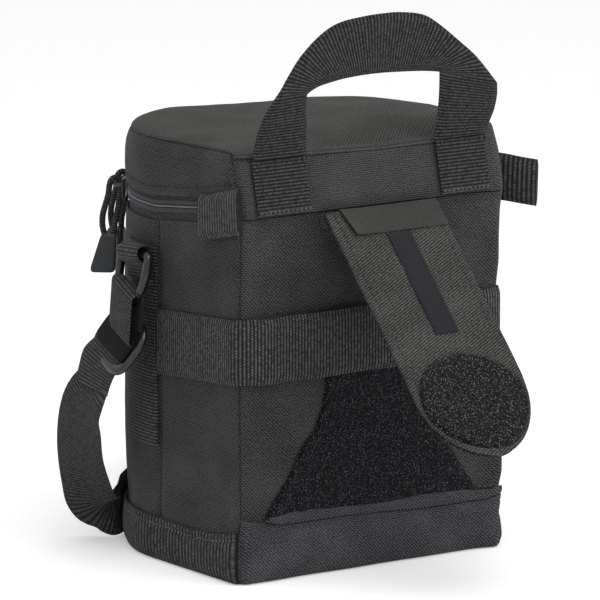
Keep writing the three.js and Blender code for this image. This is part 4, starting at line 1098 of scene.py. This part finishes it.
def flap_ply(name, out, thick, finish, node, hem, inset=0):
    grid = []
    for down, half in flap_rows():
        line = []
        for share in spaced(-1, 1, 40):
            across = share * max(half - inset, 1)
            edge = max(0, flap_edge(across, down))
            rise = puckers(across, down, 0, 22, 0.5) - 0.5 * math.exp(-(edge / 0.9) ** 2)
            if hem:
                rise -= seam_dip(edge - 3.3, 0.8, 0.45)
            line.append((flap_spot(across, down, out + rise), flap_out, (across, down)))
        grid.append(line)
    return cloth_slab(name, grid, thick, finish, "flap", [node], 0.25)


flap_twill = twill_cloth("woven_nylon_flap_twill", "5f5f5e", "1d1d1c", cross=0.04, across=0.6)
flap_ply("flap_twill_face", 3.6, 1.0, flap_twill, "flap_face", True)
flap_ply("flap_pile_back", 1.6, 1.0, loop_pile, "flap_backing", False, 0.9)
hem_half = FLAP_HALF - HEM_IN
hem_spots = [(hem_half, down) for down in spaced(3, FLAP_STRAIGHT, 40)]
hem_spots += [(hem_half * math.cos(angle), FLAP_STRAIGHT + hem_half * math.sin(angle))
              for angle in [k / 40 * math.pi for k in range(1, 40)]]
hem_spots += [(-hem_half, down) for down in spaced(FLAP_STRAIGHT, 3, 40)]
hem_line = [flap_spot(across, down, 3.5) for across, down in hem_spots]
stitch_row("flap_hem_stitches", hem_line, [flap_out] * len(hem_line), "flap")

patch_pile = pile_cloth("nylon_patch_pile", "787876", "212120", loop=0.65)
RINGS, SPOKES = 26, 110
rings, flats = [], []
for top, ring in [(1, k) for k in range(RINGS + 1)] + [(0, k) for k in range(RINGS, -1, -1)]:
    corners = []
    for spoke in range(SPOKES):
        angle = spoke / SPOKES * 2 * math.pi
        ragged = 1 + 0.03 * noise.noise(Vector((math.cos(angle) * 17, math.sin(angle) * 17, 4)))
        reach = max(ring / RINGS, 0.01) * (ragged if ring == RINGS else 1)
        across = PATCH_MIDDLE[0] + PATCH_ACROSS * reach * math.cos(angle)
        down = PATCH_MIDDLE[1] + PATCH_DOWN * reach * math.sin(angle)
        rise = 3.7
        if top:
            rise = 5.2 + puckers(across, down, 3, 1.5, 0.5)
            rise -= 1.1 * max(0, (ring - RINGS + 2) / 2) ** 2
        corners.append(flap_spot(across, down, rise))
        flats.append((across, down))
    rings.append(corners)
loft("flap_pile_patch", rings, flats, patch_pile, "flap", ["flap_patch"], crease=70)
patch_line = [flap_spot(PATCH_MIDDLE[0] + (PATCH_ACROSS - 1.4) * math.cos(k / 60 * 2 * math.pi),
                        PATCH_MIDDLE[1] + (PATCH_DOWN - 1.4) * math.sin(k / 60 * 2 * math.pi), 4.9)
              for k in range(61)]
stitch_row("flap_patch_stitches", patch_line, [flap_out] * 61, "flap", slot="loop_pile", width=0.35)

tag_satin = twill_cloth("bare_satin_tag_ribbon", "40403d", "2a2a28", pitch=0.5, weft=0.5, sheen=0.1)
strip_satin = twill_cloth("bare_satin_strip_ribbon", "26262c", "17171c", pitch=0.5, weft=0.5,
                          sheen=0.1)


def flap_label(name, left, top, right, bottom, finish, node, curve=0, lift=0):
    grid = []
    for down in spaced(top, bottom, 20):
        end = right - curve * (down - top) / (bottom - top)
        grid.append([(flap_spot(across, down, 4.25 + puckers(across, down, 6, 14, 0.25)
                                + lift * ((across - left) / (end - left)) ** 8), flap_out,
                      (across, down)) for across in spaced(left, end, 24)])
    cloth_slab(name, grid, 0.45, finish, "flap", [node], 0.15)
    inset = 1.1
    ring = [(left + inset, top + inset), (right - inset, top + inset),
            (right - curve - inset, bottom - inset), (left + inset, bottom - inset),
            (left + inset, top + inset)]
    if not lift:
        line = [flap_spot(a, d, 4.3) for a, d in ring]
        stitch_row(f"{name}_stitches", line, [flap_out] * 5, "flap", stitch=1.5, gap=0.6,
                   width=0.35, slot="bare_label", thread=hem_thread)


flap_label("flap_bare_tag", -25.8, 1, 21.2, 13.4, tag_satin, "flap_size_tag", curve=2.8, lift=1)
flap_label("flap_bare_strip", -7, 14.3, 4.2, 62, strip_satin, "flap_label_strip")
# Extruded polyethylene sheet: dark and waxy, faintly clouded.
core_sheet = mottled("polyethylene_stiffener_sheet", "1b1b1c", "2b2b2d", 0.5, 0.3)
flap_ply("flap_stiffener_sheet", 2.55, 0.9, core_sheet, "flap_core", False, 1.8)
root_grid = []
for k, (y, z) in enumerate(((60.3, 138.8), (60.6, 141), (61, 143), (61.6, 144.6), (62.6, 145.4),
                            (64.4, 146))):
    root_grid.append([(Vector((x, y + 0.9, z)), Vector((0, 0.9, 0.3)).normalized(), (x, 2 * k))
                      for x in spaced(FLAP_MIDDLE - FLAP_HALF, FLAP_MIDDLE + FLAP_HALF, 30)])
flap_root = cloth_slab("flap_root_fold", root_grid, 0.8, flap_twill, None, ["flap_root"],
                       soften=0.2)
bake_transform(flap_root)

# The rings and the adjuster: black acetal, injection moulded and glossy, with a matt plate in
# the adjuster whose darker black is painted shade. Each ring's bar lies in its webbing fold, and a
# sewn end loop of the strap hangs on each ring; the left one joins its ring to the adjuster.
RING_TURN = math.radians(14)
RING_HANG = math.radians(12)
RING_SWAY = math.radians(6)
RING_MIDDLE = (67.7, -5.9, 123)
RING_HALF = 14.6
RING_STRAIGHT = 5
RING_STOCK = 3.5
LOOP_RADIUS = 2.7
SEWN_LOOP_TOP = Vector((73, -3.6, 109))
SEWN_LOOP_LOW = Vector((74.6, -3.2, 93.4))
GLIDE_MIDDLE = Vector((74.8, -7, 88.8))
GLIDE_ACROSS = Vector((0.2, 0.945, -0.26))
GLIDE_DOWN = Vector((0.476, -0.326, -0.815))

# Injection-moulded acetal: nearly black, with a soft gloss that wanders a little over the skin.
acetal = mottled("moulded_black_acetal", "131314", "1f1f21", 0.22, 0.26, gloss=(0.16, 0.34),
                 grain={"Detail": 4}, coat=0.3)


def rod(name, line, width, thick, flat_side, finish, body, nodes, closed=True, sides=10):
    """A moulded or round rod along a line: width lies across flat_side, thick along it."""
    rings, flats, count, run = [], [], len(line), 0
    angles = [j / sides * 2 * math.pi for j in range(sides)]
    for k, point in enumerate(line):
        near = line[k - 1] if k or closed else line[0]
        far = line[(k + 1) % count] if k < count - 1 or closed else line[-1]
        along = (far - near).normalized()
        outward = along.cross(flat_side).normalized()
        level = outward.cross(along).normalized()
        run += (point - line[k - 1]).length if k else 0
        rings.append([point + outward * math.cos(angle) * width / 2
                      + level * math.sin(angle) * thick / 2 for angle in angles])
        flats += [(angle * width / 2, run) for angle in angles]
    return loft(name, rings, flats, finish, body, nodes, closed, crease=80)


def pill(half_wide, half_tall, power=4, count=28):
    points = []
    for k in range(count):
        t = k / count * 2 * math.pi
        points.append((half_wide * math.copysign(abs(math.cos(t)) ** (2 / power), math.cos(t)),
                       half_tall * math.copysign(abs(math.sin(t)) ** (2 / power), math.sin(t))))
    return points


def ring_frame(side, along, down, out=0.0):
    """A place in a ring's own plane, which leans out a little from its bar."""
    c, s = math.cos(RING_SWAY), math.sin(RING_SWAY)
    along, down = along * c + down * s, down * c - along * s
    c, s = math.cos(RING_TURN), math.sin(RING_TURN)
    reach = down * math.sin(RING_HANG) + out * math.cos(RING_HANG)
    drop = down * math.cos(RING_HANG) - out * math.sin(RING_HANG)
    x, y, z = RING_MIDDLE
    return Vector((side * (x + reach * c + along * s), y + along * c - reach * s, z - drop))


outline = [(RING_HALF - 1.5, 0), (RING_HALF - 0.4, 0.4), (RING_HALF, 1.5), (RING_HALF, 3.2)]
outline += [(RING_HALF * math.cos(k / 22 * math.pi),
             RING_STRAIGHT + RING_HALF * math.sin(k / 22 * math.pi)) for k in range(23)]
outline += [(-RING_HALF, 3.2), (-RING_HALF, 1.5), (0.4 - RING_HALF, 0.4), (1.5 - RING_HALF, 0),
            (-6, 0), (0, 0), (6, 0)]
for side, name in SIDES:
    line = [ring_frame(side, a, d) for a, d in outline]
    out_way = ring_frame(side, 0, 0, 1) - ring_frame(side, 0, 0)
    rod(f"d_ring_rod_{name}", line, RING_STOCK, 3.6, out_way, acetal, f"ring_{name}",
        [f"d_ring_{name}"], sides=14)
    top = ring_frame(side, 1.5, RING_STRAIGHT + RING_HALF - 2.6)
    bottom = Vector((side * GLIDE_MIDDLE.x, GLIDE_MIDDLE.y, GLIDE_MIDDLE.z))
    if side > 0:
        top, bottom = SEWN_LOOP_TOP, SEWN_LOOP_LOW
    down_way = (bottom - top).normalized()
    cross = Vector((side * 0.2, 0.945, -0.26 if side > 0 else 0))
    if side < 0:
        cross = (cross - down_way * cross.dot(down_way)).normalized()
    swing = cross.cross(down_way).normalized() * side
    track = []
    for middle, start in ((top, 0), (bottom, 1)):
        for k in range(13):
            angle = math.pi * (start + k / 12)
            track.append(middle + swing * LOOP_RADIUS * math.cos(angle)
                         - down_way * LOOP_RADIUS * math.sin(angle))
    edges = [(p - cross * 11, p + cross * 11) for p in track]
    webbing_band(f"strap_sewn_loop_{name}", edges, 1.4, strap_webbing, f"ring_{name}",
                 [f"strap_end_loop_{name}"], closed=True)
level = GLIDE_DOWN.cross(GLIDE_ACROSS).normalized()
outline = [GLIDE_MIDDLE + GLIDE_ACROSS * 14.4 * math.copysign(abs(math.cos(t)) ** 0.5, math.cos(t))
           + GLIDE_DOWN * 9.8 * math.copysign(abs(math.sin(t)) ** 0.6, math.sin(t))
           for t in [k / 56 * 2 * math.pi for k in range(56)]]
rod("adjuster_frame", outline, 4.8, 3.0, level, acetal, "ring_left", ["strap_adjuster"],
    sides=14)
plate_rings = [[GLIDE_MIDDLE + level * out + GLIDE_ACROSS * a + GLIDE_DOWN * d
                for a, d in pill(13.9 * grow, 5.9 * grow, 6, 40)]
               for out, grow in ((0.9, 0.9), (1.3, 0.98), (2.3, 1), (2.9, 0.95), (3.1, 0.86))]
# The same acetal from a textured mould, dull, with a fine pebble; its darker black is painted shade
# over the adjuster's middle.
painted_shade_acetal = mottled("textured_acetal_painted_shade", "0b0b0c", "18181a", 0.62, 1 / 0.6, relief=0.2,
                      specular=0.12)
loft("adjuster_plate", plate_rings, None, painted_shade_acetal, "ring_left", (), crease=60)
feed_start = GLIDE_MIDDLE + GLIDE_DOWN * 4.4 + level * 1.2
near_line = smooth_line([feed_start - GLIDE_ACROSS * 13.4, Vector((78.7, -26.3, 83.4)),
                         Vector((81.1, -26.8, 76.2)), Vector((82.8, -26.8, 70))], 6)
far_line = smooth_line([feed_start + GLIDE_ACROSS * 12.6, Vector((82, 0.6, 77)),
                        Vector((83.6, -0.6, 72.4)), Vector((84.4, -1.6, 68))], 6)
webbing_band("strap_feed_over_adjuster", list(zip(near_line, far_line)), 1.5, strap_webbing,
             "ring_left")

# The zip sliders: black-lacquered zinc castings with a bail, and a pull on each: a braided cord
# looped through the bail and moulded into a tapered rubber grip.
SLIDERS = (("left", 40), ("right", 52))
SLIDER_OUT = 63.7
BAIL_REACH = 68
BAIL_HEIGHT = 144.4
CORD_THICK = 2.5
CORD_DROP = 21
GRIP_TALL = 15.6

# Die-cast zinc under black lacquer: dark, satin, with a thin clear shine along its edges.
zinc = mottled("lacquered_zinc_casting", "1a1a1b", "303033", 0.35, 0.4, grain={"Detail": 4},
               coat=0.2)
braid = webbing_cloth("braided_nylon_pull_cord", "5a5a57", "121211", rib=0.95, yarn=0.8)
# Moulded rubber: a soft satin grey, faintly pebbled.
rubber = mottled("moulded_rubber_grip", "191a1c", "2b2d2f", 0.42, 1.2, relief=0.25,
                 grain={"Detail": 3})

for name, degrees in SLIDERS:
    angle = math.radians(degrees)
    outward = Vector((math.cos(angle), -math.sin(angle), 0))
    along = Vector((math.sin(angle), math.cos(angle), 0))
    up = Vector((0, 0, 1))

    def spot(out, across, height):
        return outward * out + along * across + up * height

    plate = [[spot(out, a, ZIP_LINE + b) for a, b in pill(5.4 * grow, 4.1 * grow)]
             for out, grow in ((SLIDER_OUT - 0.1, 0.86), (SLIDER_OUT + 0.2, 0.97),
                               (SLIDER_OUT + 0.7, 1), (SLIDER_OUT + 1.1, 0.93),
                               (SLIDER_OUT + 1.2, 0.8))]
    loft(f"slider_plate_{name}", plate, None, zinc, f"slider_{name}", [f"zip_slider_{name}"])
    arch = [spot(out, a, BAIL_HEIGHT) for out, a in
            ((SLIDER_OUT + 0.6, -4.2), (SLIDER_OUT + 2.4, -4.1), (BAIL_REACH - 0.7, -3.4),
             (BAIL_REACH, -2), (BAIL_REACH, 0), (BAIL_REACH, 2), (BAIL_REACH - 0.7, 3.4),
             (SLIDER_OUT + 2.4, 4.1), (SLIDER_OUT + 0.6, 4.2))]
    rod(f"slider_bail_{name}", smooth_line(arch, 4), 1.2, 1.6, up, zinc, f"slider_{name}", (),
        closed=False)
    strand = [(0.55, -21.6), (0.2, -17), (-0.8, -12.5), (-1.6, -8), (-2.1, -4), (-2.15, -1),
              (-1.75, 1), (-0.8, 2.1), (0.3, 2.2), (1.4, 1.3), (2.1, -0.8), (2.5, -4),
              (3.6, -8), (4.9, -12.5), (5.2, -17), (4.2, -21.6)]
    line = [spot(BAIL_REACH + a, 0.9 * math.sin(k * 0.8), BAIL_HEIGHT + b)
            for k, (a, b) in enumerate(strand)]
    rod(f"pull_braid_{name}", smooth_line(line, 5), CORD_THICK, CORD_THICK, along, braid,
        f"pull_{name}", [f"pull_cord_{name}"], closed=False, sides=12)
    rings = []
    for t, grow in ((0, 0.8), (0.03, 0.95), (0.1, 1), (0.5, 1), (0.85, 1), (0.93, 0.97),
                    (0.98, 0.88), (1, 0.72)):
        half = (3.1 + 2.0 * min(t / 0.85, 1)) * grow
        deep = (2.7 + 0.5 * t) * grow
        lean = 2.4 + 2.6 * t
        rings.append([spot(BAIL_REACH + lean + a, b, BAIL_HEIGHT - CORD_DROP + 0.5 - GRIP_TALL * t)
                      for a, b in pill(half, deep, 9)])
    loft(f"pull_rubber_grip_{name}", rings, None, rubber, f"pull_{name}", [f"pull_grip_{name}"],
         crease=35)

# The zip end tabs: short doubled pieces of ribbed webbing, sewn on at each end of the zip to
# hold while it is drawn. They stand a little off the wall at their free ends.
TABS = (
    ("left", 1, 36.4, 5, [(-1.5, 134.6, 152.6), (6, 136, 153.8), (16, 138.2, 156.3),
                          (24, 140, 158.4), (29.5, 141.3, 159.6)]),
    ("right", -1, 33, 36, [(-1.5, 138.6, 157.2), (6, 138.4, 157.6), (16, 137.6, 156.7),
                           (24, 136.7, 155.6), (30.6, 136, 154.9)]),
)
tab_ribs = webbing_cloth("ribbed_nylon_tab_webbing", "59595a", "19191a", rib=2.0, yarn=1.3)
for name, side, start, flare, rows in TABS:
    turn = math.radians(flare)
    edges = []
    for reach, low, high in rows:
        near = max(0, min(1, reach / 8))
        x = side * (HALF_WIDTH + 1.7 + max(0, reach) * math.sin(turn) * near)
        y = start + reach * math.cos(turn)
        edges.append((Vector((x, y, low)), Vector((x + side * 0.6 * near, y, high))))
    low_line = smooth_line([a for a, b in edges], 6)
    high_line = smooth_line([b for a, b in edges], 6)
    webbing_band(f"zip_tab_{name}", list(zip(low_line, high_line)), 2.6, tab_ribs, f"tab_{name}",
                 [f"zip_end_tab_{name}"], soft=8)
    line = [Vector((side * (HALF_WIDTH + 3.1), start + 0.6, z))
            for z in spaced(rows[0][1] + 1.5, rows[0][2] - 1.5, 16)]
    stitch_row(f"zip_tab_tack_{name}", line, [Vector((side, 0, 0))] * 16, f"tab_{name}",
               stitch=1.5, gap=0.4, slot="webbing")

# The studio: a pale floor that runs out of view, an even bright surround and three soft lamps.
# The floor and the surround are white to the camera, and the floor keeps the shadow.
FLOOR_SIZE = 8
bpy.ops.mesh.primitive_plane_add(size=FLOOR_SIZE, location=(0, 0, -0.0003))
floor = bpy.context.object
floor.name = "studio_floor"
floor_paper, paper_tree, paper_shader = surface("white_studio_paper", 0.9, specular=0.1)
paper_shader.inputs["Base Color"].default_value = linear("f4f4f4")
rays = add_node(paper_tree, "ShaderNodeLightPath")
seen = add_node(paper_tree, "ShaderNodeMath", operation="MULTIPLY", inputs={1: 0.3},
                links={0: rays.outputs["Is Camera Ray"]})
glow = add_node(paper_tree, "ShaderNodeEmission", links={"Strength": seen.outputs[0]})
both = add_node(paper_tree, "ShaderNodeAddShader",
                links={0: paper_shader.outputs["BSDF"], 1: glow.outputs["Emission"]})
paper_tree.links.new(both.outputs["Shader"], paper_tree.nodes["Material Output"].inputs["Surface"])
floor.data.materials.append(floor_paper)

world = bpy.data.worlds.new("studio_surround")
bpy.context.scene.world = world
world.use_nodes = True
sky_tree = world.node_tree
sky = sky_tree.nodes["Background"]
sky_rays = add_node(sky_tree, "ShaderNodeLightPath")
direct = add_node(sky_tree, "ShaderNodeMath", operation="MAXIMUM",
                  links={0: sky_rays.outputs["Is Camera Ray"],
                         1: sky_rays.outputs["Is Transmission Ray"]})
level = add_node(sky_tree, "ShaderNodeMapRange", links={"Value": direct.outputs[0]},
                 inputs={"To Min": 0.62, "To Max": 1.0})
sky.inputs["Color"].default_value = linear("ffffff")
sky_tree.links.new(level.outputs["Result"], sky.inputs["Strength"])


def soft_lamp(name, azimuth, elevation, distance, size, power):
    """A square soft box aimed at the pouch."""
    lamp = bpy.data.lights.new(name, "AREA")
    lamp.shape = "SQUARE"
    lamp.size = size
    lamp.energy = power
    way = Vector((
        math.sin(math.radians(azimuth)) * math.cos(math.radians(elevation)),
        -math.cos(math.radians(azimuth)) * math.cos(math.radians(elevation)),
        math.sin(math.radians(elevation))))
    box = bpy.data.objects.new(name, lamp)
    box.location = AIM + way * distance
    box.rotation_euler = (-way).to_track_quat("-Z", "Y").to_euler()
    bpy.context.scene.collection.objects.link(box)


soft_lamp("overhead_softbox", 170, 68, 1.6, 1.2, 12)
soft_lamp("rear_softbox", 216, 18, 0.75, 0.45, 1.3)
soft_lamp("side_softbox", 95, 30, 1.9, 1.0, 2)

bpy.context.scene.view_settings.view_transform = "Standard"
